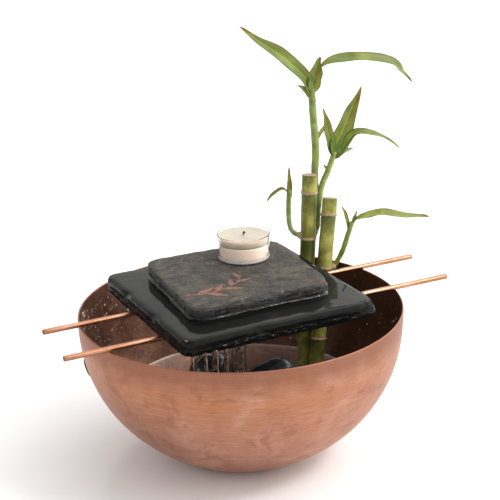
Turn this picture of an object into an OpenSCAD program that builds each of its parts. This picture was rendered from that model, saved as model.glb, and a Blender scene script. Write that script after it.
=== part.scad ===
// Tabletop water fountain: a spun copper bowl, two copper rods across its rim, two slates on the rods,
// a tealight on the slates, two stalks of bamboo in the water and a small pump under the slates.
// Millimetres. +Z is up, +X runs along the rods, and the origin is the centre of the bowl's flat base.

/* [Bowl] */
// Outer diameter of the bowl at its rim
bowl_d = 237; // [200:1:290]
// Height of the bowl from its flat base to its rim
bowl_h = 112; // [95:1:140]
// Thickness of the copper
bowl_wall = 1.2; // [0.8:0.1:2.5]
// Diameter of the flat the bowl stands on
foot_d = 90; // [86:1:110]
// Height of the cord grommet's centre above the base
grommet_z = 69; // [55:1:85]
// Diameter of the hole for the grommet
grommet_hole_d = 10; // [8:0.5:14]
// Bore of the grommet, for the pump's cord
grommet_bore_d = 5.6; // [4:0.2:7]

/* [Rods] */
// Length of each copper rod
rod_l = 305; // [270:1:360]
// Outer diameter of a rod
rod_d = 4; // [3:0.1:6]
// Wall of a rod, which is a tube
rod_wall = 0.6; // [0.4:0.1:1]
// Distance of the back rod behind the centre
rod_back_y = 19.8; // [16:0.1:24]
// Distance of the front rod in front of the centre
rod_front_y = 31.5; // [20:0.5:45]

/* [Slates] */
// Width of the base slate, along the rods
base_slate_w = 147; // [120:1:150]
// Depth of the base slate, across the rods
base_slate_l = 149; // [120:1:160]
// Thickness of the base slate
base_slate_t = 11.2; // [8:0.1:16]
// Width of the top slate
top_slate_w = 108; // [95:1:130]
// Depth of the top slate
top_slate_l = 110; // [90:1:130]
// Thickness of the top slate
top_slate_t = 8; // [5:0.1:12]
// Height of the clear bumpers that hold the slates apart
bumper_h = 2.6; // [1.5:0.1:5]
// Diameter of a bumper
bumper_d = 8; // [6:0.5:12]

/* [Candle] */
// Diameter of the tealight's cup at its lip
cup_d = 39.6; // [36:0.1:44]
// Height of the cup
cup_h = 18.4; // [15:0.1:24]
// Wall of the cup
cup_wall = 0.8; // [0.6:0.1:1.2]
// Height of the wax in the cup
wax_h = 15; // [10:0.5:16]
// Diameter of the wick
wick_d = 1.4; // [1:0.1:2]

/* [Bamboo] */
// Diameter of the taller stalk
stalk_1_d = 12.4; // [10:0.1:14]
// Length of the taller stalk
stalk_1_l = 156; // [120:1:200]
// Diameter of the shorter stalk
stalk_2_d = 12; // [10:0.1:13]
// Length of the shorter stalk
stalk_2_l = 146; // [120:1:180]

/* [Pump] */
// Width of the pump
pump_w = 40; // [36:1:46]
// Height of the pump's housing
pump_h = 30; // [30:1:36]
// Length of the housing from the front face to the back
pump_l = 42; // [40:1:44]
// Diameter of the impeller chamber
chamber_d = 25; // [22:0.5:26]
// Diameter of the rotor's magnet
magnet_d = 12.8; // [10:0.1:14]
// Diameter of the rotor's shaft
shaft_d = 1.5; // [1:0.1:2.5]
// Bore of the riser hose, and the outside of the nozzle it is pushed on
hose_bore_d = 8.4; // [7:0.1:10]
// Wall of the riser hose
hose_wall = 1.5; // [1:0.1:2]
// Diameter of the flow dial's stem
stem_d = 4; // [3:0.1:6]

/* [Fits] */
// Gap under a piece that rests on another and can be lifted off
rest_gap = 0.3; // [0.2:0.05:0.5]
// Radial clearance of the rotor on its shaft and of the dial's stem in its hole
running_gap = 0.05; // [0.03:0.01:0.09]
// Gap between the strainer cover and the lip it is pushed over
cover_gap = 0.3; // [0.2:0.05:0.5]
// Gap round the rotor, and round the hose where it comes up through the base slate
free_gap = 0.6; // [0.4:0.1:1]

/* [Hidden] */
$fn = 96;

// Bowl: the side is a superellipse, a little fuller than a half sphere.
rim_r = bowl_d / 2;
foot_r = foot_d / 2;
belly_p = 2.33;
belly_q = 1.71;
full_h = bowl_h / pow(1 - pow(foot_r / rim_r, belly_q), 1 / belly_p);
bowl_steps = 26;
function bowl_r(z) = rim_r * pow(1 - pow((bowl_h - z) / full_h, belly_p), 1 / belly_q);
function bowl_slope(z) = (bowl_r(z) - bowl_r(z - 0.02)) / 0.02;
function bowl_in_r(z) = bowl_r(z) - bowl_wall * sqrt(1 + pow(bowl_slope(z), 2));
// Height of the inner face at a distance r from the axis
function bowl_floor(r) = r < foot_r ? bowl_wall
    : bowl_h - full_h * pow(1 - pow(r / rim_r, belly_q), 1 / belly_p) + 1.6 * bowl_wall;

// Grommet: on the left of the bowl, towards the back, with its axis square to the wall.
grommet_turn = 156;
grommet_tilt = atan(bowl_slope(grommet_z));
grommet_flange = 3;
grommet_flange_t = 2;
grommet_seat = 0.5;

// Heights of the stack on the rim
rod_z = bowl_h + rest_gap + rod_d / 2;
rod_back_x = 8.6;
rod_front_x = 6.3;
base_slate_x = -4;
base_slate_y = -2.5;
base_slate_z = rod_z + rod_d / 2 + rest_gap;
base_slate_top = base_slate_z + base_slate_t;
top_slate_x = -1.6;
top_slate_y = 4;
top_slate_z = base_slate_top + rest_gap + bumper_h;
top_slate_top = top_slate_z + top_slate_t;
candle_x = 16.6;
candle_y = 26;
candle_z = top_slate_top + rest_gap;

// Hose and pump: the hose stands on the pump and comes up through the base slate's middle.
hose_x = base_slate_x;
hose_y = base_slate_y;
hose_d = hose_bore_d + 2 * hose_wall;
slate_hole_d = hose_d + 2 * free_gap;
hose_drop = 0.5;
foot_h = 5;
pump_z = bowl_wall + foot_h;
chamber_l = 12;
volute_t = 2.5;
volute_d = chamber_d + 4.4;
front_y = -chamber_l / 2 - volute_t;
back_y = front_y + pump_l;
axle_z = pump_h / 2;
well_d = magnet_d + 2 * free_gap;
well_wall = 1.1;
well_end = 26;
bush_d = 5;
bush_t = 2.5;
cap_t = bush_t + 1.5;
shell_t = 3;
cavity_y = chamber_l / 2 + shell_t;
lip_t = 1.6;
lip_l = 3;
cover_t = 1.6;
cover_l = 10;
cover_front = front_y - cover_gap - cover_l;
dial_d = 12;
dial_t = 4;
gate_t = 1.2;
port_d = hose_bore_d + 0.6;
nozzle_bore_d = hose_bore_d - 2.4;
nozzle_h = 14;
flange_t = 2;
hose_overlap = 10;

// Bamboo: each stalk stands on the bowl's wall, and leans outwards.
stalk_clear = 2;
stalk_1_foot_z = 32;
stalk_2_foot_z = 26;
stalk_1_turn = 26.8;
stalk_2_turn = 15.7;
stalk_1_lean = [0.081, 0.061, 1];
stalk_2_lean = [0.172, 0.11, 1];
function stalk_foot(turn, z, d) =
    let (r = bowl_in_r(z) - d / 2 - stalk_clear) [r * cos(turn), r * sin(turn), z];
stalk_1_foot = stalk_foot(stalk_1_turn, stalk_1_foot_z, stalk_1_d);
stalk_2_foot = stalk_foot(stalk_2_turn, stalk_2_foot_z, stalk_2_d);
node_ring = 0.5;
node_ring_h = 2.2;
// How far each ring starts below the stalk's cut top
stalk_1_rings = [15, 51, 108];
stalk_2_rings = [14, 56, 112];
bud_1_z = 137;
bud_2_z = 115;
// A point on a stalk's axis, at a height above the table
function on_stalk(foot, lean, z) = foot + lean * (z - foot[2]);
// The side shoots grow from these two rings.
bud_1 = on_stalk(stalk_1_foot, stalk_1_lean, bud_1_z);
bud_2 = on_stalk(stalk_2_foot, stalk_2_lean, bud_2_z);

// Stones: distance from the axis, bearing, half length, half width and half height, and the turn
stones = [
    [43, -20, 14, 22, 15, 10], [50, 190, 22, 15, 14, 80], [58, 132, 17, 14, 13, 40],
    [60, 268, 20, 13, 12, 5], [52, 36, 15, 12, 13, 100], [66, -50, 17, 13, 12, 30]
];
stone_upper = [[12, -27, 20], [-16, 23, 16]];
stone_upper_size = [[27, 16, 20], [19, 15, 16]];

// ---- shapes that several pieces use ----

function unit(v) = v / norm(v);

// The outline of a slate: four corners, each rounded by its own radius
corner_steps = 8;
function corner_arc(p, a, b, r) =
    let (u = unit(a - p), v = unit(b - p), half = acos(u * v) / 2,
         c = p + unit(u + v) * r / sin(half),
         start = p + u * r / tan(half) - c, end = p + v * r / tan(half) - c,
         from = atan2(start[1], start[0]),
         turn = (atan2(end[1], end[0]) - from + 540) % 360 - 180)
    [for (i = [0:corner_steps]) let (a = from + turn * i / corner_steps) c + r * [cos(a), sin(a)]];
function rounded_outline(corners, radii) =
    [for (i = [0:3]) each corner_arc(corners[i], corners[(i + 3) % 4], corners[(i + 1) % 4], radii[i])];

module slate(corners, radii, t) {
    linear_extrude(height = t) polygon(rounded_outline(corners, radii));
}

// A tube of stone, leaf or stem: rings of an ellipse along a smooth curve through the points.
function blend_at(p, i, s) =
    let (n = len(p), a = p[max(i - 1, 0)], b = p[i], c = p[min(i + 1, n - 1)], d = p[min(i + 2, n - 1)])
    0.5 * (2 * b + (c - a) * s + (2 * a - 5 * b + 4 * c - d) * s * s + (3 * b - a - 3 * c + d) * s * s * s);
function curve(p, steps) = [
    for (i = [0:len(p) - 2], s = [0:steps - 1]) blend_at(p, i, s / steps),
    p[len(p) - 1]
];
module strip(points, half_w, half_t, flat = [0, -1, 0.3], steps = 2, sides = 8) {
    path = curve(points, steps);
    n = len(path);
    rings = [
        for (i = [0:n - 1])
            let (t = unit(path[min(i + 1, n - 1)] - path[max(i - 1, 0)]),
                 side = unit(cross(t, flat)), up = cross(side, t), f = i / (n - 1))
            for (k = [0:sides - 1])
                path[i] + side * half_w(f) * cos(360 * k / sides) + up * half_t(f) * sin(360 * k / sides)
    ];
    walls = [
        for (i = [0:n - 2], k = [0:sides - 1])
            let (a = i * sides + k, b = i * sides + (k + 1) % sides)
            each [[a, b, b + sides], [a, b + sides, a + sides]]
    ];
    first = [for (k = [0:sides - 1]) sides - 1 - k];
    last = [for (k = [0:sides - 1]) (n - 1) * sides + k];
    polyhedron(rings, concat(walls, [first, last]));
}
module stem(points, r0, r1, steps = 2) {
    taper = function (f) r0 + (r1 - r0) * f;
    strip(points, taper, taper, steps = steps);
}
module leaf(points, w, flat = [0, -1, 0.3], steps = 2) {
    strip(points, function (f) 0.5 + (w / 2 - 0.5) * pow(sin(180 * pow(0.04 + 0.92 * f, 0.8)), 0.8),
        function (f) 0.7, flat, steps);
}

// ---- bowl and rods ----

module bowl() {
    heights = [for (i = [0:bowl_steps]) bowl_h * pow(i / bowl_steps, 1.4)];
    outside = [for (z = heights) [bowl_r(z), z]];
    inside = [
        for (i = [bowl_steps:-1:0])
            let (z = max(heights[i], bowl_wall)) if (i == 0 || heights[i] > bowl_wall) [bowl_in_r(z), z]
    ];
    color([0.80, 0.50, 0.40]) difference() {
        rotate_extrude() polygon(concat([[0, 0]], outside, inside, [[0, bowl_wall]]));
        at_grommet() translate([0, 0, -15]) cylinder(d = grommet_hole_d, h = 30);
    }
}

// The grommet's own frame: its Z points out of the bowl, from the outer face of the wall
module at_grommet() {
    r = bowl_r(grommet_z);
    translate([r * cos(grommet_turn), r * sin(grommet_turn), grommet_z])
        rotate([0, 90 + grommet_tilt, grommet_turn]) children();
}

module cord_grommet() {
    flange_r = grommet_hole_d / 2 + grommet_flange;
    color([0.06, 0.06, 0.06]) at_grommet() difference() {
        union() {
            translate([0, 0, grommet_seat]) cylinder(r = flange_r, h = grommet_flange_t);
            translate([0, 0, -bowl_wall - grommet_seat - grommet_flange_t])
                cylinder(r = flange_r, h = grommet_flange_t);
            translate([0, 0, -bowl_wall - grommet_seat - 1])
                cylinder(d = grommet_hole_d, h = bowl_wall + 2 * grommet_seat + 2);
        }
        translate([0, 0, -bowl_wall - 5]) cylinder(d = grommet_bore_d, h = bowl_wall + 10);
    }
}

module rod(x, y) {
    color([0.78, 0.47, 0.30]) translate([x - rod_l / 2, y, rod_z]) rotate([0, 90, 0]) difference() {
        cylinder(d = rod_d, h = rod_l);
        translate([0, 0, -1]) cylinder(d = rod_d - 2 * rod_wall, h = rod_l + 2);
    }
}
module rod_front() rod(rod_front_x, -rod_front_y);
module rod_back() rod(rod_back_x, rod_back_y);

// ---- slates ----

module base_slate() {
    w = base_slate_w / 2;
    l = base_slate_l / 2;
    color([0.10, 0.10, 0.11]) difference() {
        translate([base_slate_x, base_slate_y, base_slate_z])
            slate([[-w, -l], [w, -l], [w, l], [-w, l]], [7, 5, 6, 9], base_slate_t);
        translate([hose_x, hose_y, base_slate_z - 1]) cylinder(d = slate_hole_d, h = base_slate_t + 2);
    }
}

// The top slate is split by hand, so its sides run askew.
module top_slate() {
    w = top_slate_w / 2;
    l = top_slate_l / 2;
    color([0.30, 0.28, 0.26]) translate([top_slate_x, top_slate_y, top_slate_z])
        slate([[-w - 4, -l], [w - 4.5, -l + 1], [w + 4.5, l - 3], [-w + 4.5, l]],
            [11, 9, 15, 14], top_slate_t);
}

bumper_in = 16;
module slate_bumpers() {
    color([0.85, 0.88, 0.88]) for (sx = [-1, 1], sy = [-1, 1])
        translate([
            top_slate_x + sx * (top_slate_w / 2 - bumper_in),
            top_slate_y + sy * (top_slate_l / 2 - bumper_in),
            top_slate_z - bumper_h
        ]) cylinder(d1 = bumper_d - 2, d2 = bumper_d, h = bumper_h);
}

// ---- candle ----

cup_base_t = 0.8;
cup_taper = 0.5;
sustainer_d = 12;
sustainer_t = 0.4;
sustainer_neck_d = 3;
sustainer_neck_h = 4;
wick_proud = 3;

module at_candle() translate([candle_x, candle_y, candle_z]) children();

module cup_inside(h) {
    r_low = cup_d / 2 - cup_taper - cup_wall;
    translate([0, 0, cup_base_t]) cylinder(r1 = r_low, r2 = r_low + cup_taper * h / cup_h, h = h);
}

module candle_cup() {
    color([0.90, 0.92, 0.92, 0.4]) at_candle() difference() {
        cylinder(r1 = cup_d / 2 - cup_taper, r2 = cup_d / 2, h = cup_h);
        cup_inside(cup_h);
    }
}

module sustainer_solid() {
    translate([0, 0, cup_base_t]) cylinder(d = sustainer_d, h = sustainer_t);
    translate([0, 0, cup_base_t]) cylinder(d = sustainer_neck_d, h = sustainer_neck_h);
}

module wick_solid() {
    translate([0, 0, cup_base_t + sustainer_t]) cylinder(d = wick_d, h = wax_h + wick_proud - sustainer_t);
}

module candle_wax() {
    color([0.96, 0.92, 0.82]) at_candle() difference() {
        cup_inside(wax_h);
        sustainer_solid();
        wick_solid();
    }
}

module candle_wick() {
    color([0.15, 0.12, 0.10]) at_candle() wick_solid();
}

module wick_sustainer() {
    color([0.75, 0.75, 0.77]) at_candle() difference() {
        sustainer_solid();
        wick_solid();
    }
}

// ---- bamboo ----

module stalk(foot, lean, l, d, rings) {
    up = unit(lean);
    translate(foot) rotate([0, acos(up[2]), atan2(up[1], up[0])]) {
        cylinder(d = d, h = l);
        for (s = rings) translate([0, 0, l - s]) cylinder(d = d + 2 * node_ring, h = node_ring_h);
    }
}

module bamboo_stalk_1() {
    color([0.55, 0.60, 0.30]) stalk(stalk_1_foot, stalk_1_lean, stalk_1_l, stalk_1_d, stalk_1_rings);
}

module bamboo_stalk_2() {
    color([0.58, 0.65, 0.30]) stalk(stalk_2_foot, stalk_2_lean, stalk_2_l, stalk_2_d, stalk_2_rings);
}

// Points of a shoot are given from its bud, in whole millimetres.
function from_bud(bud, points) = [for (p = points) bud + p];

module shoot_tall() {
    b = bud_1;
    color([0.36, 0.50, 0.16]) union() {
        stem(from_bud(b, [[2, 5, 1], [8, 11, 4], [14, 13, 12], [15, 13, 22], [14, 13, 47], [15, 13, 67],
            [12, 11, 96], [10, 9, 116]]), 2.4, 1.4);
        leaf(from_bud(b, [[9, 9, 112], [3, 8, 126], [-17, 4, 144], [-38, 0, 158], [-56, -4, 171]]), 11);
        leaf(from_bud(b, [[10, 9, 113], [13, 10, 126], [18, 12, 138]]), 8);
        leaf(from_bud(b, [[10, 9, 114], [15, 7, 129], [23, 5, 135], [38, 3, 137], [51, -1, 136],
            [73, -6, 131], [80, -9, 123], [87, -11, 115]]), 9, [0, -0.5, 1]);
        leaf(from_bud(b, [[9, 9, 108], [3, 8, 116], [-3, 7, 120]]), 4);
        leaf(from_bud(b, [[14, 13, 64], [16, 12, 76], [22, 11, 84], [24, 10, 89]]), 3.4);
    }
}

module shoot_broad() {
    b = bud_1;
    color([0.40, 0.55, 0.18]) union() {
        stem(from_bud(b, [[4, 0, 2], [9, 1, 8], [12, 4, 22], [17, 8, 37], [25, 11, 49], [32, 13, 62]]),
            2.1, 1.5);
        leaf(from_bud(b, [[32, 13, 59], [34, 14, 67], [43, 16, 81], [52, 18, 96], [61, 20, 110]]), 15);
        leaf(from_bud(b, [[31, 13, 58], [27, 14, 78], [24, 16, 97]]), 9);
        leaf(from_bud(b, [[31, 13, 58], [37, 12, 63], [48, 10, 75], [63, 6, 74], [73, 2, 69], [83, -2, 61]]),
            8, [0, -0.6, 1]);
        leaf(from_bud(b, [[31, 13, 56], [42, 16, 61], [53, 20, 60]]), 5, [0, -0.6, 1]);
        leaf(from_bud(b, [[26, 11, 46], [22, 9, 51], [19, 8, 55]]), 3);
    }
}

module shoot_side() {
    b = bud_1;
    color([0.40, 0.52, 0.18]) union() {
        stem(from_bud(b, [[-2, 4, 1], [-5, 15, 2], [-3, 25, 7], [1, 33, 18], [4, 37, 29]]), 2, 1.6);
        leaf(from_bud(b, [[3, 36, 22], [4, 37, 32], [5, 39, 48]]), 5);
        leaf(from_bud(b, [[3, 37, 27], [0, 41, 30], [-6, 45, 26], [-10, 49, 19]]), 3.2, [0, -0.5, 1]);
    }
}

module shoot_low() {
    b = bud_2;
    color([0.42, 0.55, 0.20]) union() {
        stem(from_bud(b, [[4, -1, 0], [7, -2, 1], [10, -3, 5], [14, -5, 14], [18, -6, 26], [22, -6, 36]]),
            2, 1.3);
        leaf(from_bud(b, [[19, -6, 29], [18, -3, 41], [16, 0, 48]]), 3.4);
        leaf(from_bud(b, [[21, -6, 33], [23, -7, 39], [25, -8, 45]]), 3);
        leaf(from_bud(b, [[20, -6, 32], [25, -8, 38], [35, -12, 41], [46, -16, 41], [66, -20, 37],
            [82, -22, 34]]), 8, [0, -0.5, 1]);
    }
}

// ---- pump ----

// The pump's own frame: Y runs along the rotor's axis to the back, Z up from the housing's underside,
// and the hose stands at X = 0, Y = 0.
module at_pump() translate([hose_x, hose_y, pump_z]) children();

// A cylinder along Y on the rotor's axis
module on_axle(y0, y1, d) translate([0, y0, axle_z]) rotate([-90, 0, 0]) cylinder(d = d, h = y1 - y0);

module pump_cavity() {
    translate([-pump_w / 2 + shell_t, cavity_y, shell_t])
        cube([pump_w - 2 * shell_t, back_y - cavity_y, pump_h - 2 * shell_t]);
}

module well_tube() on_axle(cavity_y - 1, well_end + cap_t, well_d + 2 * well_wall);

module pump_housing() {
    lip_w = pump_w - 2 * (cover_t + cover_gap);
    lip_h = pump_h - 2 * (cover_t + cover_gap);
    color([0.07, 0.07, 0.08]) at_pump() difference() {
        union() {
            difference() {
                translate([-pump_w / 2, front_y, 0]) cube([pump_w, pump_l, pump_h]);
                pump_cavity();
            }
            well_tube();
            translate([-lip_w / 2, front_y - lip_l, (pump_h - lip_h) / 2]) cube([lip_w, lip_l + 1, lip_h]);
        }
        translate([-lip_w / 2 + lip_t, front_y - lip_l - 1, (pump_h - lip_h) / 2 + lip_t])
            cube([lip_w - 2 * lip_t, lip_l + 1, lip_h - 2 * lip_t]);
        on_axle(front_y - 1, front_y + volute_t, volute_d);
        on_axle(front_y, chamber_l / 2, chamber_d);
        on_axle(0, well_end, well_d);
        on_axle(well_end - 1, well_end + bush_t, bush_d);
        translate([0, 0, axle_z]) cylinder(d = port_d, h = pump_h);
    }
}

stator_w = 30;
stator_h = 22;
stator_l = 12;
module stator_block() {
    translate([-stator_w / 2, cavity_y + 2, axle_z - stator_h / 2]) cube([stator_w, stator_l, stator_h]);
}

module stator_core() {
    color([0.45, 0.42, 0.40]) at_pump() difference() {
        stator_block();
        well_tube();
    }
}

module potting_resin() {
    color([0.12, 0.12, 0.10]) at_pump() difference() {
        pump_cavity();
        well_tube();
        stator_block();
    }
}

// The gland is moulded on the resin face. The cord it is made for is not part of the model.
gland_d = 8;
gland_l = 6;
gland_bore_d = 4.6;
module cable_gland() {
    color([0.05, 0.05, 0.05]) at_pump() translate([0, back_y, axle_z]) rotate([-90, 0, 0]) difference() {
        cylinder(d1 = gland_d + 2, d2 = gland_d, h = gland_l);
        translate([0, 0, 1.5]) cylinder(d = gland_bore_d, h = gland_l);
    }
}

foot_cup_d = 13;
foot_neck_d = 6;
module suction_feet() {
    color([0.10, 0.10, 0.10]) at_pump()
        for (sx = [-1, 1], y = [front_y + 7, back_y - 7])
            translate([sx * (pump_w / 2 - 7), y, -foot_h]) difference() {
                cylinder(d1 = foot_cup_d, d2 = foot_neck_d, h = foot_h);
                translate([0, 0, -0.01]) cylinder(d1 = foot_cup_d - 2, d2 = 2, h = foot_h / 2);
            }
}

module bush(y0, y1) {
    difference() {
        on_axle(y0, y1, bush_d);
        on_axle(y0 - 1, y1 + 1, shaft_d);
    }
}

front_bush_t = 1.8;
module rear_bush() {
    color([0.15, 0.15, 0.15]) at_pump() bush(well_end, well_end + bush_t);
}
module front_bush() {
    color([0.15, 0.15, 0.15]) at_pump() bush(-chamber_l / 2 - front_bush_t, -chamber_l / 2);
}

module rotor_shaft() {
    inset = 0.2;
    color([0.90, 0.90, 0.88]) at_pump()
        on_axle(-chamber_l / 2 - front_bush_t + inset, well_end + bush_t - inset, shaft_d);
}

// The impeller is pressed on the magnet, and they turn as one on the fixed shaft.
rotor_split = chamber_l / 2 + 0.6;
rotor_play = 0.5;
blade_count = 6;
blade_turn = 15;
blade_t = 1.2;
module magnet_rotor() {
    color([0.20, 0.20, 0.22]) at_pump() difference() {
        on_axle(rotor_split, well_end - rotor_play, magnet_d);
        on_axle(0, well_end + 1, shaft_d + 2 * running_gap);
    }
}

module impeller() {
    hub_d = 7;
    blade_end = chamber_l / 2 - 1.5;
    color([0.85, 0.85, 0.80]) at_pump() difference() {
        union() {
            on_axle(-chamber_l / 2 + rotor_play, rotor_split, hub_d);
            for (i = [0:blade_count - 1])
                translate([0, 0, axle_z]) rotate([0, 360 / blade_count * i + blade_turn, 0])
                    translate([2, -blade_end, -blade_t / 2])
                        cube([chamber_d / 2 - 2 * free_gap - 2, 2 * blade_end, blade_t]);
        }
        on_axle(-chamber_l, chamber_l, shaft_d + 2 * running_gap);
    }
}

inlet_count = 6;
inlet_d = 4.6;
module volute_cover() {
    color([0.10, 0.10, 0.11]) at_pump() difference() {
        on_axle(front_y, front_y + volute_t, volute_d);
        on_axle(-chamber_l / 2 - front_bush_t, 0, bush_d);
        for (i = [0:inlet_count - 1])
            translate([0, 0, axle_z]) rotate([0, 360 / inlet_count * i, 0])
                translate([chamber_d / 2 - inlet_d, 0, 0])
                    rotate([90, 0, 0]) translate([0, 0, -10]) cylinder(d = inlet_d, h = 30);
    }
}

slot_w = 2.2;
slot_xs = [-14, -10.5, -7, 7, 10.5, 14];
module strainer_cover() {
    color([0.07, 0.07, 0.08]) at_pump() difference() {
        translate([-pump_w / 2, cover_front, 0]) cube([pump_w, cover_l, pump_h]);
        translate([-pump_w / 2 + cover_t, cover_front + cover_t, cover_t])
            cube([pump_w - 2 * cover_t, cover_l, pump_h - 2 * cover_t]);
        for (x = slot_xs)
            translate([x - slot_w / 2, cover_front - 1, 5]) cube([slot_w, cover_t + 2, pump_h - 10]);
        on_axle(cover_front - 1, cover_front + cover_t + 1, stem_d + 2 * running_gap);
    }
}

stem_end_d = 3;
module flow_dial() {
    color([0.12, 0.12, 0.13]) at_pump() {
        on_axle(cover_front - cover_gap - dial_t, cover_front - cover_gap, dial_d);
        on_axle(cover_front - cover_gap - 1, cover_front + cover_t + cover_gap, stem_d);
        on_axle(cover_front, cover_front + cover_t + cover_gap + gate_t, stem_end_d);
        translate([-0.8, cover_front - cover_gap - dial_t - 1, axle_z - dial_d / 2 + 1])
            cube([1.6, 1.5, dial_d - 2]);
    }
}

// The gate is a bow tie: turned by the dial, it covers or clears the slots.
gate_r = 11.5;
gate_spread = 34;
gate_hub_d = 8;
module flow_gate() {
    color([0.12, 0.12, 0.13]) at_pump() translate([0, cover_front + cover_t + cover_gap, axle_z])
        rotate([-90, 0, 0]) difference() {
            linear_extrude(height = gate_t) union() {
                circle(d = gate_hub_d);
                for (side = [90, 270])
                    polygon([[0, 0], for (a = [-gate_spread:gate_spread / 4:gate_spread])
                        gate_r * [cos(side + a), sin(side + a)]]);
            }
            translate([0, 0, -1]) cylinder(d = stem_end_d, h = gate_t + 2);
        }
}

module outlet_nozzle() {
    color([0.08, 0.08, 0.09]) at_pump() difference() {
        union() {
            translate([0, 0, pump_h - 3]) cylinder(d = port_d, h = 4);
            translate([0, 0, pump_h]) cylinder(d = port_d + 5, h = flange_t);
            translate([0, 0, pump_h]) cylinder(d = hose_bore_d, h = nozzle_h);
        }
        cylinder(d = nozzle_bore_d, h = pump_h + nozzle_h + 1);
    }
}

module riser_hose() {
    z0 = pump_z + pump_h + nozzle_h - hose_overlap;
    color([0.80, 0.85, 0.82, 0.5]) translate([hose_x, hose_y, z0]) difference() {
        cylinder(d = hose_d, h = base_slate_top - hose_drop - z0);
        translate([0, 0, -1]) cylinder(d = hose_bore_d, h = base_slate_top - z0 + 2);
    }
}

// ---- river stones ----

// A pebble in the ring round the pump, resting on the bowl
module ring_stone(i) {
    s = stones[i];
    z = bowl_floor(s[0] + 0.75 * max(s[2], s[3])) + s[4] + 0.5;
    color([0.12, 0.12, 0.13]) translate([s[0] * cos(s[1]), s[0] * sin(s[1]), z])
        rotate([0, 0, s[5]]) scale([s[2], s[3], s[4]]) sphere(r = 1, $fn = 24);
}

// A pebble piled on the pump, beside the hose
module upper_stone(i) {
    p = stone_upper[i];
    s = stone_upper_size[i];
    color([0.10, 0.10, 0.12]) translate([p[0], p[1], pump_z + pump_h + 1 + s[2]])
        scale(s) sphere(r = 1, $fn = 24);
}

bowl();
cord_grommet();
rod_front();
rod_back();
base_slate();
top_slate();
slate_bumpers();
candle_cup();
candle_wax();
candle_wick();
wick_sustainer();
bamboo_stalk_1();
shoot_tall();
shoot_broad();
shoot_side();
bamboo_stalk_2();
shoot_low();
pump_housing();
stator_core();
potting_resin();
cable_gland();
suction_feet();
rear_bush();
front_bush();
rotor_shaft();
magnet_rotor();
impeller();
volute_cover();
strainer_cover();
flow_dial();
flow_gate();
outlet_nozzle();
riser_hose();
ring_stone(0);  // river_stone_1
ring_stone(1);  // river_stone_2
ring_stone(2);  // river_stone_3
ring_stone(3);  // river_stone_4
ring_stone(4);  // river_stone_5
ring_stone(5);  // river_stone_6
upper_stone(0);  // river_stone_7
upper_stone(1);  // river_stone_8
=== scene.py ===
import math
import random
from math import cos, pi, radians, sin, sqrt, tau

import bmesh
import bpy
from mathutils import Matrix, Vector, noise


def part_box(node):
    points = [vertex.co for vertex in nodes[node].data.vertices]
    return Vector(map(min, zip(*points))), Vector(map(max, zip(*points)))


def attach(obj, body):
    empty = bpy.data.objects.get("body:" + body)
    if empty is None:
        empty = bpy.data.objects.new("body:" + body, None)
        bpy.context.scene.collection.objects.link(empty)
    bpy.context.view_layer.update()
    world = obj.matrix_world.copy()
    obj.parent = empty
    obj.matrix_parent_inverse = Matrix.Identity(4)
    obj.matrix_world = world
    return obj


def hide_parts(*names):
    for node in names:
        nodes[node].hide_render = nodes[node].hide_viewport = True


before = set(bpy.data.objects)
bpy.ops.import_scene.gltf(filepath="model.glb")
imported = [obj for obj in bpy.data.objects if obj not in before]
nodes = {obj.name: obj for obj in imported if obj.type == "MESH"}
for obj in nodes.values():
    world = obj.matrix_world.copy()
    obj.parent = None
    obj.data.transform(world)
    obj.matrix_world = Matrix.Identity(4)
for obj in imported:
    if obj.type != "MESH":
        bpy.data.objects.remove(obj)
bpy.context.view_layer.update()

MM = 0.001


# ---------------------------------------------------------------- small helpers (lengths in mm)

def box_mm(node):
    lo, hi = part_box(node)
    return Vector(lo) / MM, Vector(hi) / MM


def clamp(v, lo=0.0, hi=1.0):
    return max(lo, min(hi, v))


def smooth(v):
    v = clamp(v)
    return v * v * (3 - 2 * v)


def rough(x, y, z=0.0, size=10.0, octaves=4, seed=0.0):
    """Fractal noise of about -1 to 1 whose features are size mm across."""
    p = Vector((x, y, z)) / size + Vector((seed, 1.7 * seed, -0.9 * seed))
    return noise.fractal(p, 1.0, 2.0, octaves)


def smooth_curve(points, steps):
    """A Catmull-Rom curve through the points."""
    p = [Vector(q) for q in points]
    out = []
    for i in range(len(p) - 1):
        a, b, c, d = p[max(i - 1, 0)], p[i], p[i + 1], p[min(i + 2, len(p) - 1)]
        for k in range(steps):
            s = k / steps
            out.append(0.5 * (2 * b + (c - a) * s + (2 * a - 5 * b + 4 * c - d) * s * s
                              + (3 * b - a - 3 * c + d) * s ** 3))
    return out + [p[-1]]


def add_object(name, data):
    obj = bpy.data.objects.new(name, data)
    bpy.context.scene.collection.objects.link(obj)
    return obj


def frame_at(path, i, facing):
    """The path's direction at point i, and the two directions across it: side, and up towards facing."""
    along = (path[min(i + 1, len(path) - 1)] - path[max(i - 1, 0)]).normalized()
    side = along.cross(facing).normalized()
    return along, side, side.cross(along)


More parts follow.
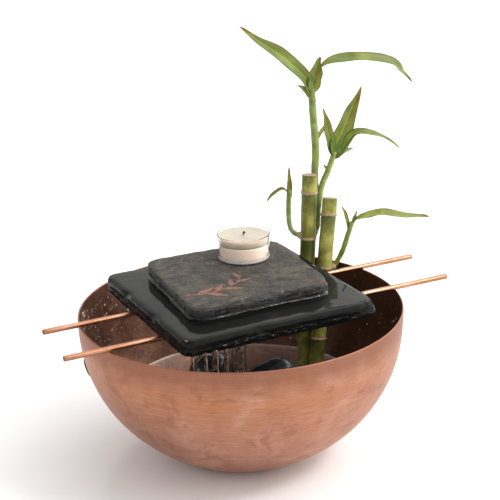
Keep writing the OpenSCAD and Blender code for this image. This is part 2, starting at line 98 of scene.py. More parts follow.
class Shape:
    """Vertices in mm, faces, a material number for each face and a UV for each vertex."""

    def __init__(self):
        self.v, self.f, self.m, self.uv = [], [], [], []

    def add(self, co, uv=(0.0, 0.0)):
        self.v.append(Vector(co))
        self.uv.append(uv)
        return len(self.v) - 1

    def face(self, ids, mat=0):
        self.f.append(tuple(ids))
        self.m.append(mat)

    def grid(self, rows, mat=0, closed=False, row_mat=None):
        """Joins rows of vertex numbers with quads. closed joins each row's end to its start."""
        for j in range(len(rows) - 1):
            a, b = rows[j], rows[j + 1]
            n = len(a)
            for i in range(n if closed else n - 1):
                k = (i + 1) % n
                self.face((a[i], a[k], b[k], b[i]), row_mat[j] if row_mat else mat)

    def fan(self, ring, centre, mat=0, flip=False):
        n = len(ring)
        for i in range(n):
            a, b = ring[i], ring[(i + 1) % n]
            self.face((b, a, centre) if flip else (a, b, centre), mat)

    def tube(self, rows, first, last, mat=0):
        """Closed rings joined into a tube, with a point over each end."""
        self.grid(rows, mat, closed=True)
        self.fan(rows[-1], self.add(last), mat)
        self.fan(rows[0], self.add(first), mat, flip=True)

    def build(self, name, materials, body, replaces=(), matrix=None, sharp=None):
        mesh = bpy.data.meshes.new(name)
        pts = [(matrix @ p if matrix else p) * MM for p in self.v]
        mesh.from_pydata(pts, [], self.f)
        for m in materials:
            mesh.materials.append(m)
        mesh.polygons.foreach_set("material_index", self.m)
        layer = mesh.uv_layers.new(name="Along")
        for loop in mesh.loops:
            layer.data[loop.index].uv = self.uv[loop.vertex_index]
        mesh.polygons.foreach_set("use_smooth", [True] * len(mesh.polygons))
        mesh.update()
        if sharp:
            mesh.set_sharp_from_angle(angle=radians(sharp))
        obj = add_object(name, mesh)
        if body:
            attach(obj, body)
        if replaces:
            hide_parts(*replaces)
        return obj


def lathe(shape, profile, steps, wobble=None):
    """Turns (r, z) or (r, z, material) points about Z. A point with r 0 closes the form."""
    rows, mats = [], []
    for r, z, *mat in profile:
        mats.append(mat[0] if mat else 0)
        if r < 1e-6:
            rows.append(shape.add((0, 0, z)))
            continue
        row = []
        for i in range(steps):
            a = tau * i / steps
            rr = r + (wobble(r, z, a) if wobble else 0.0)
            row.append(shape.add((rr * cos(a), rr * sin(a), z), (i / steps, z)))
        rows.append(row)
    for j in range(len(rows) - 1):
        a, b = rows[j], rows[j + 1]
        if isinstance(a, int):
            shape.fan(b, a, mats[j + 1], flip=True)
        elif isinstance(b, int):
            shape.fan(a, b, mats[j])
        else:
            shape.grid([a, b], mats[j], closed=True)


def recalc(obj):
    bm = bmesh.new()
    bm.from_mesh(obj.data)
    bmesh.ops.recalc_face_normals(bm, faces=bm.faces)
    bm.to_mesh(obj.data)
    bm.free()
    return obj


# ---------------------------------------------------------------- material helpers

class Mat:
    """A Principled material and short calls for the nodes that feed it."""

    def __init__(self, name, **sockets):
        self.m = bpy.data.materials.new(name)
        self.m.use_nodes = True
        self.t = self.m.node_tree
        self.t.nodes.clear()
        self.out = self.node("OutputMaterial")
        self.b = self.node("BsdfPrincipled", **sockets)
        self.link(self.b.outputs[0], self.out.inputs[0])
        self.co = self.node("TexCoord")

    def node(self, kind, **sockets):
        n = self.t.nodes.new("ShaderNode" + kind)
        for k, v in sockets.items():
            n.inputs[k.replace("_", " ")].default_value = v
        return n

    def link(self, a, b):
        self.t.links.new(a, b)

    def feed(self, socket, value):
        """Sets a socket to a number or colour, or links a node's output to it."""
        if isinstance(value, tuple):
            socket.default_value = (*value, 1.0)
        elif isinstance(value, (int, float)):
            socket.default_value = value
        else:
            self.link(value, socket)

    def to(self, value, socket):
        self.link(value, self.b.inputs[socket])

    def stretched(self, scale, source="Object"):
        n = self.node("Mapping", Scale=scale)
        self.link(self.co.outputs[source], n.inputs["Vector"])
        return n.outputs[0]

    def noise(self, size_mm, detail=4.0, rough=0.55, warp=0.0, coords=None):
        """Noise with features of size_mm, which is unused where stretched coords carry the size."""
        plain = coords is None
        n = self.node("TexNoise", Scale=1000.0 / size_mm if plain else 1.0, Detail=detail, Roughness=rough,
                      Distortion=warp)
        self.link(self.co.outputs["Object"] if plain else coords, n.inputs["Vector"])
        return n.outputs["Fac"]

    def cells(self, size_mm):
        n = self.node("TexVoronoi", Scale=1000.0 / size_mm)
        self.link(self.co.outputs["Object"], n.inputs["Vector"])
        return n.outputs["Distance"]

    def ramp(self, fac, stops):
        n = self.node("ValToRGB")
        elements = n.color_ramp.elements
        while len(elements) < len(stops):
            elements.new(0.5)
        for e, (pos, col) in zip(elements, stops):
            e.position = pos
            e.color = (*col, 1.0) if isinstance(col, tuple) else (col, col, col, 1.0)
        self.link(fac, n.inputs["Fac"])
        return n.outputs["Color"]

    def mix(self, fac, a, b):
        n = self.node("Mix")
        n.data_type = "RGBA"
        for value, i in ((fac, 0), (a, 6), (b, 7)):
            self.feed(n.inputs[i], value)
        return n.outputs[2]

    def over(self, base, mask, low, high, colour):
        """Colour laid over base. low and high are (value of the mask, weight of the colour)."""
        return self.mix(self.ramp(mask, [low, high]), base, colour)

    def math(self, op, *values):
        n = self.node("Math")
        n.operation = op
        for value, socket in zip(values, n.inputs):
            self.feed(socket, value)
        return n.outputs[0]

    def part(self, axis, source="Object"):
        n = self.node("SeparateXYZ")
        self.link(self.co.outputs[source], n.inputs[0])
        return n.outputs[axis]

    def bump(self, *layers, socket="Normal"):
        """Each layer is (height, depth in mm), finest last."""
        normal = None
        for height, depth in layers:
            n = self.node("Bump", Strength=1.0, Distance=depth * MM)
            self.link(height, n.inputs["Height"])
            if normal is not None:
                self.link(normal, n.inputs["Normal"])
            normal = n.outputs["Normal"]
        self.link(normal, self.b.inputs[socket])

    def lets_lamps_through(self, tint):
        """Light from the lamps passes this glass, so it casts no black shadow."""
        path, mixer = self.node("LightPath"), self.node("MixShader")
        clear = self.node("BsdfTransparent", Color=(*tint, 1.0))
        self.link(path.outputs["Is Shadow Ray"], mixer.inputs[0])
        self.link(self.b.outputs[0], mixer.inputs[1])
        self.link(clear.outputs[0], mixer.inputs[2])
        self.link(mixer.outputs[0], self.out.inputs[0])
        return self


# ---------------------------------------------------------------- camera, floor and light

CAMERA_TURN, CAMERA_RISE, CAMERA_ROLL = radians(-25.52), radians(21.55), radians(1.75)
CAMERA_DISTANCE = 948.0
LENS = 93.3
# The camera's aim off the middle of the bowl's rim: to the right, and above
AIM_RIGHT, AIM_UP = radians(-0.53), radians(2.43)
# The room's brightness from its left side to its right
ROOM_LEFT, ROOM_RIGHT = 0.70, 2.9
LIGHTS_AIM = Vector((0, 0, 0.1))

bowl_hi = box_mm("bowl")[1]
RIM_R, RIM_Z = bowl_hi.x, bowl_hi.z


def add_camera():
    level = cos(CAMERA_RISE)
    back = Vector((sin(CAMERA_TURN) * level, -cos(CAMERA_TURN) * level, sin(CAMERA_RISE)))
    turn = math.atan2(-back.y, -back.x) + AIM_RIGHT
    rise = math.asin(-back.z) + AIM_UP
    forward = Vector((cos(turn) * cos(rise), sin(turn) * cos(rise), sin(rise)))
    right = forward.cross(Vector((0, 0, 1))).normalized()
    up = right.cross(forward)
    c, s = cos(CAMERA_ROLL), sin(CAMERA_ROLL)
    right, up = c * right - s * up, s * right + c * up
    data = bpy.data.cameras.new("camera")
    data.lens, data.sensor_width = LENS, 36.0
    data.clip_start, data.clip_end = 0.01, 60.0
    cam = add_object("camera", data)
    place = (Vector((0, 0, RIM_Z)) + back * CAMERA_DISTANCE) * MM
    cam.matrix_world = Matrix((
        (right.x, up.x, -forward.x, place.x),
        (right.y, up.y, -forward.y, place.y),
        (right.z, up.z, -forward.z, place.z),
        (0, 0, 0, 1)))
    bpy.context.scene.camera = cam


def add_light(name, place, size, watts):
    """A round lamp aimed at the fountain. Place and size are in metres."""
    data = bpy.data.lights.new(name, "AREA")
    data.shape, data.size, data.energy = "DISK", size, watts
    obj = add_object(name, data)
    obj.location = place
    obj.rotation_mode = "QUATERNION"
    obj.rotation_quaternion = (LIGHTS_AIM - Vector(place)).to_track_quat("-Z", "Y")


def add_studio():
    world = bpy.data.worlds.new("studio")
    bpy.context.scene.world = world
    world.use_nodes = True
    t = world.node_tree
    t.nodes.clear()
    out = t.nodes.new("ShaderNodeOutputWorld")
    bg = t.nodes.new("ShaderNodeBackground")
    co = t.nodes.new("ShaderNodeTexCoord")
    toward = t.nodes.new("ShaderNodeVectorMath")
    toward.operation = "DOT_PRODUCT"
    toward.inputs[1].default_value = (0.97, -0.10, 0.20)
    span = t.nodes.new("ShaderNodeMapRange")
    span.interpolation_type = "SMOOTHSTEP"
    for name, value in (("From Min", 0.0), ("From Max", 1.0), ("To Min", ROOM_LEFT), ("To Max", ROOM_RIGHT)):
        span.inputs[name].default_value = value
    t.links.new(co.outputs["Generated"], toward.inputs[0])
    t.links.new(toward.outputs["Value"], span.inputs["Value"])
    t.links.new(span.outputs[0], bg.inputs["Strength"])
    t.links.new(bg.outputs[0], out.inputs[0])
    bg.inputs["Color"].default_value = (1.0, 0.995, 0.985, 1)

    add_light("key", (0.95, -1.0, 1.6), 0.5, 14)
    add_light("fill_left", (-1.5, -0.3, 1.0), 0.7, 3)
    add_light("back_top", (0.2, 1.4, 1.6), 0.22, 3)

    floor = Shape()
    middle = floor.add((0, 0, 0))
    rings = [[floor.add((r * cos(tau * i / 64), r * sin(tau * i / 64), 0)) for i in range(64)]
             for r in (400.0, 1200.0, 4000.0, 12000.0, 30000.0)]
    floor.fan(rings[0], middle)
    floor.grid(rings, closed=True)
    mat = Mat("floor_paper", Roughness=0.75)
    mat.to(mat.ramp(mat.noise(60, 3), [(0.3, (0.86, 0.86, 0.86)), (0.7, (0.88, 0.88, 0.88))]), "Base Color")
    mat.bump((mat.noise(1.5, 3), 0.02))
    recalc(floor.build("floor", [mat.m], None))


# ---------------------------------------------------------------- materials

def share_of_height(m):
    """0 at the table and 1 at the bowl's rim."""
    return m.math("MULTIPLY", m.part(2), 1000.0 / RIM_Z)


def copper_outside():
    m = Mat("spun_copper", Metallic=1.0)
    tone = m.noise(38, 5, 0.6, 0.4)
    rings = m.noise(0, 3, 0.6, coords=m.stretched((9, 9, 900)))
    fine = m.noise(0, 4, 0.7, coords=m.stretched((60, 60, 3200)))
    pits = m.noise(1.6, 3, 0.7)
    stain = m.noise(21, 6, 0.7, 1.2)
    height = share_of_height(m)
    base = m.ramp(tone, [(0.28, (0.36, 0.160, 0.096)), (0.48, (0.45, 0.222, 0.145)),
                         (0.66, (0.56, 0.315, 0.232))])
    band = m.math("MULTIPLY", m.ramp(height, [(0.50, 0.0), (0.74, 1.0), (0.92, 0.9), (1.0, 0.4)]),
                  m.ramp(tone, [(0.34, 1.0), (0.66, 0.15)]))
    base = m.mix(m.math("MULTIPLY", band, 0.75), base, (0.43, 0.172, 0.076))
    base = m.over(base, rings, (0.42, 0.0), (0.64, 0.40), (0.44, 0.19, 0.12))
    base = m.over(base, stain, (0.51, 0.0), (0.66, 0.65), (0.26, 0.112, 0.070))
    base = m.over(base, fine, (0.30, 0.55), (0.52, 0.0), (0.26, 0.112, 0.072))
    base = m.over(base, fine, (0.52, 0.0), (0.72, 0.45), (0.72, 0.44, 0.34))
    # A dull strip under the rim
    ragged = m.math("ADD", height, m.math("MULTIPLY", m.noise(12, 5), 0.12))
    base = m.over(base, ragged, (0.87, 0.0), (1.01, 0.75), (0.24, 0.100, 0.065))
    base = m.over(base, pits, (0.64, 0.0), (0.74, 0.5), (0.22, 0.09, 0.06))
    m.to(base, "Base Color")
    m.to(m.ramp(m.mix(0.5, tone, fine), [(0.35, 0.40), (0.65, 0.55)]), "Roughness")
    m.bump((m.noise(14, 2), 0.10), (rings, 0.05), (fine, 0.03), (pits, 0.03))
    return m.m


def copper_inside():
    m = Mat("patinated_copper")
    tone = m.noise(16, 6, 0.65, 0.5)
    fine = m.noise(2.2, 4, 0.7)
    base = m.ramp(tone, [(0.25, (0.09, 0.040, 0.026)), (0.48, (0.25, 0.115, 0.074)),
                         (0.62, (0.36, 0.18, 0.115)), (0.75, (0.48, 0.25, 0.16))])
    # Lighter low on the left, as painted light where the lamps reach the inner wall, and darker to the right,
    # as painted shade where the rim shades the wall
    rightward = m.math("MULTIPLY_ADD", m.part(0), 5.0, 0.6)
    low = m.math("MULTIPLY", m.ramp(share_of_height(m), [(0.36, 0.6), (0.62, 0.0)]),
                 m.ramp(rightward, [(0.15, 1.0), (0.5, 0.0)]))
    shade = m.ramp(rightward, [(0.3, 0.0), (0.8, 0.6)])
    base = m.mix(low, base, (0.66, 0.37, 0.25))
    base = m.over(base, fine, (0.55, 0.0), (0.72, 0.7), (0.06, 0.026, 0.017))
    # Painted shade: the inner right wall made darker
    base = m.mix(shade, base, (0.055, 0.027, 0.017))
    m.to(base, "Base Color")
    m.to(m.ramp(tone, [(0.3, 0.65), (0.7, 0.85)]), "Metallic")
    m.to(m.ramp(fine, [(0.3, 0.32), (0.7, 0.55)]), "Roughness")
    m.bump((tone, 0.25), (fine, 0.12))
    return m.m


def copper_bright():
    m = Mat("rod_copper", Metallic=1.0)
    tone = m.noise(22, 4, 0.6)
    draw = m.noise(0, 4, 0.7, coords=m.stretched((25, 2600, 2600)))
    base = m.ramp(tone, [(0.3, (0.36, 0.155, 0.08)), (0.55, (0.49, 0.25, 0.16)), (0.8, (0.64, 0.38, 0.28))])
    base = m.over(base, draw, (0.5, 0.0), (0.70, 0.7), (0.20, 0.078, 0.04))
    m.to(base, "Base Color")
    m.to(m.ramp(draw, [(0.3, 0.20), (0.7, 0.36)]), "Roughness")
    m.bump((tone, 0.05), (draw, 0.02))
    return m.m


def stone_wet():
    m = Mat("wet_slate", Coat_Weight=0.62, Coat_Roughness=0.02, Coat_IOR=1.23, Roughness=0.6,
            Specular_IOR_Level=0.05)
    layers = m.noise(0, 5, 0.65, 0.6, coords=m.stretched((50, 50, 700)))
    grain = m.noise(3, 6, 0.7)
    base = m.ramp(layers, [(0.3, (0.002, 0.002, 0.002)), (0.55, (0.004, 0.004, 0.004)),
                           (0.75, (0.010, 0.009, 0.008))])
    base = m.over(base, m.noise(26, 4), (0.55, 0.0), (0.75, 0.6), (0.010, 0.008, 0.007))
    m.to(base, "Base Color")
    m.bump((layers, 0.35), (grain, 0.12))
    m.bump((m.noise(24, 1, 0.4), 0.22), (m.noise(7, 2), 0.03), socket="Coat Normal")
    return m.m


def stone_dry():
    m = Mat("dry_slate", Specular_IOR_Level=0.22)
    streaks = m.noise(0, 6, 0.65, 0.8, coords=m.stretched((70, 84, 300)))
    cloud = m.noise(30, 5, 0.6, 0.5)
    grain = m.noise(1.7, 5, 0.75)
    base = m.ramp(streaks, [(0.30, (0.018, 0.016, 0.014)), (0.46, (0.044, 0.040, 0.036)),
                            (0.60, (0.078, 0.067, 0.056)), (0.76, (0.125, 0.102, 0.078))])
    base = m.over(base, cloud, (0.45, 0.0), (0.66, 0.8), (0.050, 0.050, 0.050))
    base = m.over(base, m.noise(11, 6, 0.75, 1.0), (0.52, 0.0), (0.66, 0.5), (0.15, 0.110, 0.066))
    base = m.over(base, grain, (0.57, 0.0), (0.68, 0.7), (0.27, 0.22, 0.155))
    base = m.over(base, grain, (0.32, 0.85), (0.44, 0.0), (0.012, 0.010, 0.009))
    m.to(base, "Base Color")
    m.to(m.ramp(cloud, [(0.3, 0.62), (0.7, 0.9)]), "Roughness")
    m.bump((streaks, 0.5), (m.noise(7, 4), 0.5), (grain, 0.22))
    return m.m


# The top slate's side is painted darker up to about the first height, fading over the second, both in mm:
# painted shade under its overhang, together with the real dark of water wetting it
SOAK_SHADE_Z, SOAK_SHADE_STEP = 134.88, 8.0


def stone_edge():
    """The split edge: layers, with paler flecks where it is chipped, and darker low down, as painted shade
    under the slate's overhang and as the real dark of wet stone.
    """
    m = Mat("slate_edge", Roughness=0.7)
    layers = m.noise(0, 6, 0.7, 0.5, coords=m.stretched((70, 70, 1500)))
    chips = m.cells(3.2)
    base = m.ramp(layers, [(0.30, (0.012, 0.011, 0.010)), (0.50, (0.040, 0.036, 0.032)),
                           (0.64, (0.095, 0.080, 0.062)), (0.78, (0.21, 0.18, 0.145))])
    base = m.over(base, m.noise(5, 4), (0.58, 0.0), (0.72, 0.6), (0.22, 0.19, 0.15))
    # Painted shade low on the side under the overhang, which also stands for water wetting the stone: darker
    # and glossier
    level = m.math("MULTIPLY_ADD", m.part(2), 1000.0 / SOAK_SHADE_STEP, m.math("MULTIPLY", m.noise(9, 4), 0.9))
    soaked_and_shaded = m.ramp(m.math("SUBTRACT", level, SOAK_SHADE_Z / SOAK_SHADE_STEP), [(0.25, 1.0), (0.75, 0.0)])
    base = m.mix(m.math("MULTIPLY", soaked_and_shaded, 0.93), base, (0.008, 0.007, 0.006))
    m.to(base, "Base Color")
    m.to(m.ramp(soaked_and_shaded, [(0.0, 0.8), (1.0, 0.18)]), "Roughness")
    m.bump((layers, 0.5), (chips, 0.25))
    return m.m


def paint():
    m = Mat("earth_red_paint", Roughness=0.7)
    worn = m.noise(2.2, 5, 0.7)
    m.to(m.ramp(worn, [(0.40, (0.075, 0.058, 0.048)), (0.50, (0.21, 0.080, 0.050)),
                       (0.70, (0.29, 0.115, 0.072))]), "Base Color")
    m.to(m.ramp(worn, [(0.3, 0.85), (0.7, 0.6)]), "Roughness")
    m.bump((worn, 0.08))
    return m.m


def scaled(colour, *by):
    return tuple(c * k for c, k in zip(colour, by))


def clear_plastic(name, tint=(0.98, 0.97, 0.96), rough_to=0.06):
    m = Mat(name, Transmission_Weight=1.0, IOR=1.45)
    haze = m.noise(9, 3)
    m.to(m.ramp(haze, [(0.3, tint), (0.7, scaled(tint, 0.97, 0.97, 0.97))]), "Base Color")
    m.to(m.ramp(haze, [(0.35, 0.01), (0.75, rough_to)]), "Roughness")
    m.bump((m.noise(3, 2), 0.02))
    return m.lets_lamps_through(tint).m


def wax_solid():
    m = Mat("set_wax", Subsurface_Weight=0.6, Subsurface_Scale=0.004)
    cloud = m.noise(9, 4)
    m.to(m.ramp(cloud, [(0.3, (0.86, 0.70, 0.59)), (0.7, (0.92, 0.78, 0.67))]), "Base Color")
    m.to(m.ramp(cloud, [(0.3, 0.35), (0.7, 0.55)]), "Roughness")
    m.bump((cloud, 0.08), (m.noise(1.2, 3), 0.02))
    return m.m


def wax_melt():
    m = Mat("melted_wax", Subsurface_Weight=0.8, Subsurface_Scale=0.006, Specular_IOR_Level=0.25)
    cloud = m.noise(12, 3)
    m.to(m.ramp(cloud, [(0.3, (0.44, 0.39, 0.30)), (0.7, (0.50, 0.45, 0.36))]), "Base Color")
    m.to(m.ramp(cloud, [(0.3, 0.12), (0.7, 0.22)]), "Roughness")
    m.bump((m.noise(10, 1), 0.05))
    return m.m


def simple(name, low, high, size=4.0, rough=(0.35, 0.6), depth=0.05, **sockets):
    """Two tones over a noise, with bump."""
    m = Mat(name, **sockets)
    n = m.noise(size, 5, 0.65)
    m.to(m.ramp(n, [(0.32, low), (0.68, high)]), "Base Color")
    m.to(m.ramp(m.noise(size * 0.6, 4), [(0.3, rough[0]), (0.7, rough[1])]), "Roughness")
    m.bump((n, depth), (m.noise(size * 0.12, 3), depth * 0.3))
    return m.m


def steel_sheets():
    m = Mat("stator_steel", Metallic=0.9)
    sheets = m.node("TexWave", Scale=320.0)
    sheets.bands_direction = "Y"
    m.link(m.co.outputs["Object"], sheets.inputs["Vector"])
    m.to(m.ramp(sheets.outputs["Fac"], [(0.2, (0.05, 0.045, 0.04)), (0.6, (0.34, 0.31, 0.28))]), "Base Color")
    m.to(m.ramp(m.noise(2), [(0.3, 0.35), (0.7, 0.6)]), "Roughness")
    m.bump((sheets.outputs["Fac"], 0.06))
    return m.m


def bamboo_skin():
    """UV y is 1 just under a ring and 0 well below it. The skin is painted darker green there, as painted
    shade under the ring.
    """
    m = Mat("bamboo_skin", Specular_IOR_Level=0.3)
    along = m.part(1, "UV")
    fibres = m.noise(0, 5, 0.7, coords=m.stretched((900, 900, 30)))
    cloud = m.noise(14, 4, 0.6, 0.3)
    base = m.ramp(cloud, [(0.30, (0.115, 0.112, 0.016)), (0.50, (0.22, 0.212, 0.037)),
                          (0.68, (0.42, 0.40, 0.098))])
    # Painted shade: darker green just under each ring
    base = m.over(base, along, (0.35, 0.0), (0.97, 0.85), (0.045, 0.075, 0.010))
    base = m.over(base, fibres, (0.56, 0.0), (0.76, 0.45), (0.46, 0.44, 0.13))
    m.to(base, "Base Color")
    m.to(m.ramp(fibres, [(0.3, 0.30), (0.7, 0.46)]), "Roughness")
    m.bump((cloud, 0.10), (fibres, 0.05))
    return m.m


def leaf_green(name, deep, mid, pale):
    """UV x runs across the blade and y from its base to its tip."""
    m = Mat(name, Specular_IOR_Level=0.3, Subsurface_Weight=0.2, Subsurface_Scale=0.002)
    veins = m.noise(0, 3, 0.6, coords=m.stretched((46, 1.4, 1), "UV"))
    cloud = m.noise(20, 4, 0.6, 0.4)
    across, along = m.part(0, "UV"), m.part(1, "UV")
    base = m.ramp(cloud, [(0.30, deep), (0.52, mid), (0.72, pale)])
    base = m.over(base, veins, (0.50, 0.0), (0.72, 0.5), pale)
    rib = m.math("ABSOLUTE", m.math("SUBTRACT", across, 0.5))
    base = m.over(base, rib, (0.015, 0.55), (0.06, 0.0), scaled(pale, 1.3, 1.25, 1.3))
    # Painted shade: darker along both edges, where the folded blade turns away from the light
    base = m.over(base, rib, (0.34, 0.0), (0.49, 0.75), scaled(deep, 0.5, 0.5, 0.5))
    base = m.over(base, along, (0.02, 0.6), (0.18, 0.0), (0.26, 0.32, 0.09))
    base = m.over(base, along, (0.90, 0.0), (1.0, 0.8), (0.06, 0.055, 0.012))
    m.to(base, "Base Color")
    m.to(m.ramp(veins, [(0.3, 0.30), (0.7, 0.42)]), "Roughness")
    m.bump((cloud, 0.12), (veins, 0.05))
    return m.m


def pebble_skin():
    m = Mat("wet_pebble", Coat_Weight=0.9, Coat_Roughness=0.04, Coat_IOR=1.36)
    tone = m.noise(17, 6, 0.6, 0.6)
    m.to(m.ramp(tone, [(0.3, (0.006, 0.007, 0.010)), (0.55, (0.018, 0.019, 0.024)),
                       (0.75, (0.055, 0.052, 0.052))]), "Base Color")
    m.to(m.ramp(m.noise(2.5, 5), [(0.3, 0.4), (0.7, 0.7)]), "Roughness")
    m.bump((m.noise(8, 5), 0.3), (m.noise(0.8, 4), 0.06))
    return m.m


def water():
    tint = (0.93, 0.93, 0.88)
    m = Mat("pool_surface", Transmission_Weight=1.0, IOR=1.333)
    ripple = m.noise(16, 2, 0.5, 0.6)
    m.to(m.ramp(ripple, [(0.3, tint), (0.7, scaled(tint, 0.98, 0.97, 0.95))]), "Base Color")
    m.to(m.ramp(ripple, [(0.4, 0.0), (0.9, 0.03)]), "Roughness")
    m.bump((ripple, 0.5), (m.noise(5, 2), 0.08))
    return m.lets_lamps_through(tint).m


# ---------------------------------------------------------------- bowl and rods

FOOT_R, BOWL_WALL = 45.0, 1.2
# The wall's curve is a superellipse with these powers, cut off by the foot
BELLY_P, BELLY_Q = 2.33, 1.71
FULL_H = RIM_Z / (1 - (FOOT_R / RIM_R) ** BELLY_Q) ** (1 / BELLY_P)
WATER_Z = 40.0


def bowl_r(z):
    return RIM_R * max(1 - (max(RIM_Z - z, 0) / FULL_H) ** BELLY_P, 0) ** (1 / BELLY_Q)


def bowl_slope(z):
    z = max(min(z, RIM_Z - 0.03), 0.02)
    return (bowl_r(z + 0.01) - bowl_r(z - 0.01)) / 0.02


def bowl_in_r(z):
    return bowl_r(z) - BOWL_WALL * sqrt(1 + bowl_slope(z) ** 2)


def make_bowl(outside, inside):
    s = Shape()
    profile = [(0, 0), (12, 0), (25, 0), (36, 0), (FOOT_R - 1.4, 0.05)]
    low, high = 0.5, RIM_Z - 0.65
    heights = [low + (high - low) * (i / 84) ** 1.25 for i in range(85)]
    profile += [(bowl_r(z), z) for z in heights]
    middle, half = (bowl_r(high) + bowl_in_r(high)) / 2, (bowl_r(high) - bowl_in_r(high)) / 2
    profile += [(middle + half * cos(pi * k / 8), high + half * sin(pi * k / 8)) for k in range(1, 8)]
    profile += [(bowl_in_r(z), z, 1) for z in reversed(heights) if bowl_in_r(z) > 30 and z > BOWL_WALL + 0.2]
    profile += [(r, BOWL_WALL, 1) for r in (38, 26, 12, 0)]

    def dents(r, z, a):
        edge = smooth(z / 12) * smooth((RIM_Z - z) / 10)
        x, y = r * cos(a), r * sin(a)
        return edge * (0.16 * rough(x, y, z, 34, 2) + 0.05 * rough(x, y, z, 9, 2, 3.0))

    lathe(s, profile, 256, dents)
    bowl = recalc(s.build("copper_bowl", [outside, inside], None, sharp=50))

    # The hole for the cord's grommet
    hole = Shape()
    lathe(hole, [(0, -12), (GROMMET_HOLE_R, -12), (GROMMET_HOLE_R, 12), (0, 12)], 48)
    tool = recalc(hole.build("hole_tool", [], None, matrix=grommet_frame()))
    cut = bowl.modifiers.new("grommet_hole", "BOOLEAN")
    cut.operation, cut.object, cut.solver = "DIFFERENCE", tool, "EXACT"
    ready = bpy.data.meshes.new_from_object(bowl.evaluated_get(bpy.context.evaluated_depsgraph_get()))
    bowl.modifiers.clear()
    bowl.data = ready
    bpy.data.objects.remove(tool)
    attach(bowl, "bowl_and_pump")
    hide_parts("bowl")


GROMMET_TURN, GROMMET_Z, GROMMET_HOLE_R = radians(156), 69.0, 5.0


def grommet_frame():
    """A matrix at the grommet whose Z points out of the wall."""
    r = bowl_r(GROMMET_Z)
    place = Vector((r * cos(GROMMET_TURN), r * sin(GROMMET_TURN), GROMMET_Z))
    return (Matrix.Translation(place) @ Matrix.Rotation(GROMMET_TURN, 4, "Z")
            @ Matrix.Rotation(pi / 2 + math.atan(bowl_slope(GROMMET_Z)), 4, "Y"))


def make_grommet(rubber):
    """A moulded ring with rounded lips either side of the wall."""
    s = Shape()
    hole, bore, lip, t = GROMMET_HOLE_R, 2.8, 8.0, 2.0
    top, low = 0.5, -BOWL_WALL - 0.5
    profile = [(bore, low - t + 0.5), (bore, top + t - 0.5), (bore + 0.2, top + t - 0.15),
               (bore + 0.6, top + t), (lip - 1.1, top + t), (lip - 0.35, top + t - 0.35),
               (lip, top + t - 1.1), (lip - 0.1, top + 0.1), (hole, top), (hole, low),
               (lip - 0.1, low - 0.1), (lip, low - t + 1.1), (lip - 0.35, low - t + 0.35),
               (lip - 1.1, low - t), (bore + 0.6, low - t), (bore, low - t + 0.5)]
    lathe(s, profile, 64)
    recalc(s.build("cord_grommet_ring", [rubber], "bowl_and_pump", ["cord_grommet"],
                   matrix=grommet_frame(), sharp=40))


def make_rod(name, node, body, copper, seed):
    lo, hi = box_mm(node)
    r, y, z = (hi.z - lo.z) / 2, (hi.y + lo.y) / 2, (hi.z + lo.z) / 2
    length, bore = hi.x - lo.x, r - 0.6
    s = Shape()
    profile = [(bore, 0.25), (bore + 0.12, 0.06), (r - 0.25, 0.0), (r - 0.06, 0.08), (r, 0.3)]
    profile += [(r, 0.3 + (length - 0.6) * i / 90) for i in range(1, 90)]
    profile += [(r, length - 0.3), (r - 0.06, length - 0.08), (r - 0.25, length),
                (bore + 0.12, length - 0.06), (bore, length - 0.25)]
    profile += [(bore, length * k / 8) for k in (7, 6, 5, 4, 3, 2, 1)]
    profile += [(bore, 0.25)]

    def dents(rr, zz, a):
        return 0.03 * rough(zz, 3 * cos(a), 3 * sin(a), 7, 3, seed) if rr > r - 0.1 else 0.0

    lathe(s, profile, 40, dents)
    along = Matrix.Translation(Vector((lo.x, y, z))) @ Matrix.Rotation(pi / 2, 4, "Y")
    recalc(s.build(name, [copper], body, [node], matrix=along, sharp=40))


# ---------------------------------------------------------------- slates

# How far a slab's top edge lies below its face, as a share of its roll, and the hose's hole in the base slate
EDGE_DROP, HOSE_HOLE_R = 0.45, 6.3


def rounded_outline(corners, radii, count):
    """Points evenly spaced round a four-sided outline whose corners are rounded."""
    pts = []
    for i in range(4):
        p, a, b = Vector(corners[i]), Vector(corners[i - 1]), Vector(corners[(i + 1) % 4])
        u, v = (a - p).normalized(), (b - p).normalized()
        half = math.acos(u.dot(v)) / 2
        c = p + (u + v).normalized() * radii[i] / sin(half)
        start, end = p + u * radii[i] / math.tan(half) - c, p + v * radii[i] / math.tan(half) - c
        a0 = math.atan2(start.y, start.x)
        turn = (math.atan2(end.y, end.x) - a0 + 3 * pi) % tau - pi
        pts += [c + radii[i] * Vector((cos(a0 + turn * k / 16), sin(a0 + turn * k / 16))) for k in range(17)]
    lengths = [(pts[(i + 1) % len(pts)] - pts[i]).length for i in range(len(pts))]
    total, out, i, used = sum(lengths), [], 0, 0.0
    for k in range(count):
        want = total * k / count
        while used + lengths[i] < want:
            used += lengths[i]
            i += 1
        out.append(pts[i].lerp(pts[(i + 1) % len(pts)], (want - used) / max(lengths[i], 1e-9)))
    return out


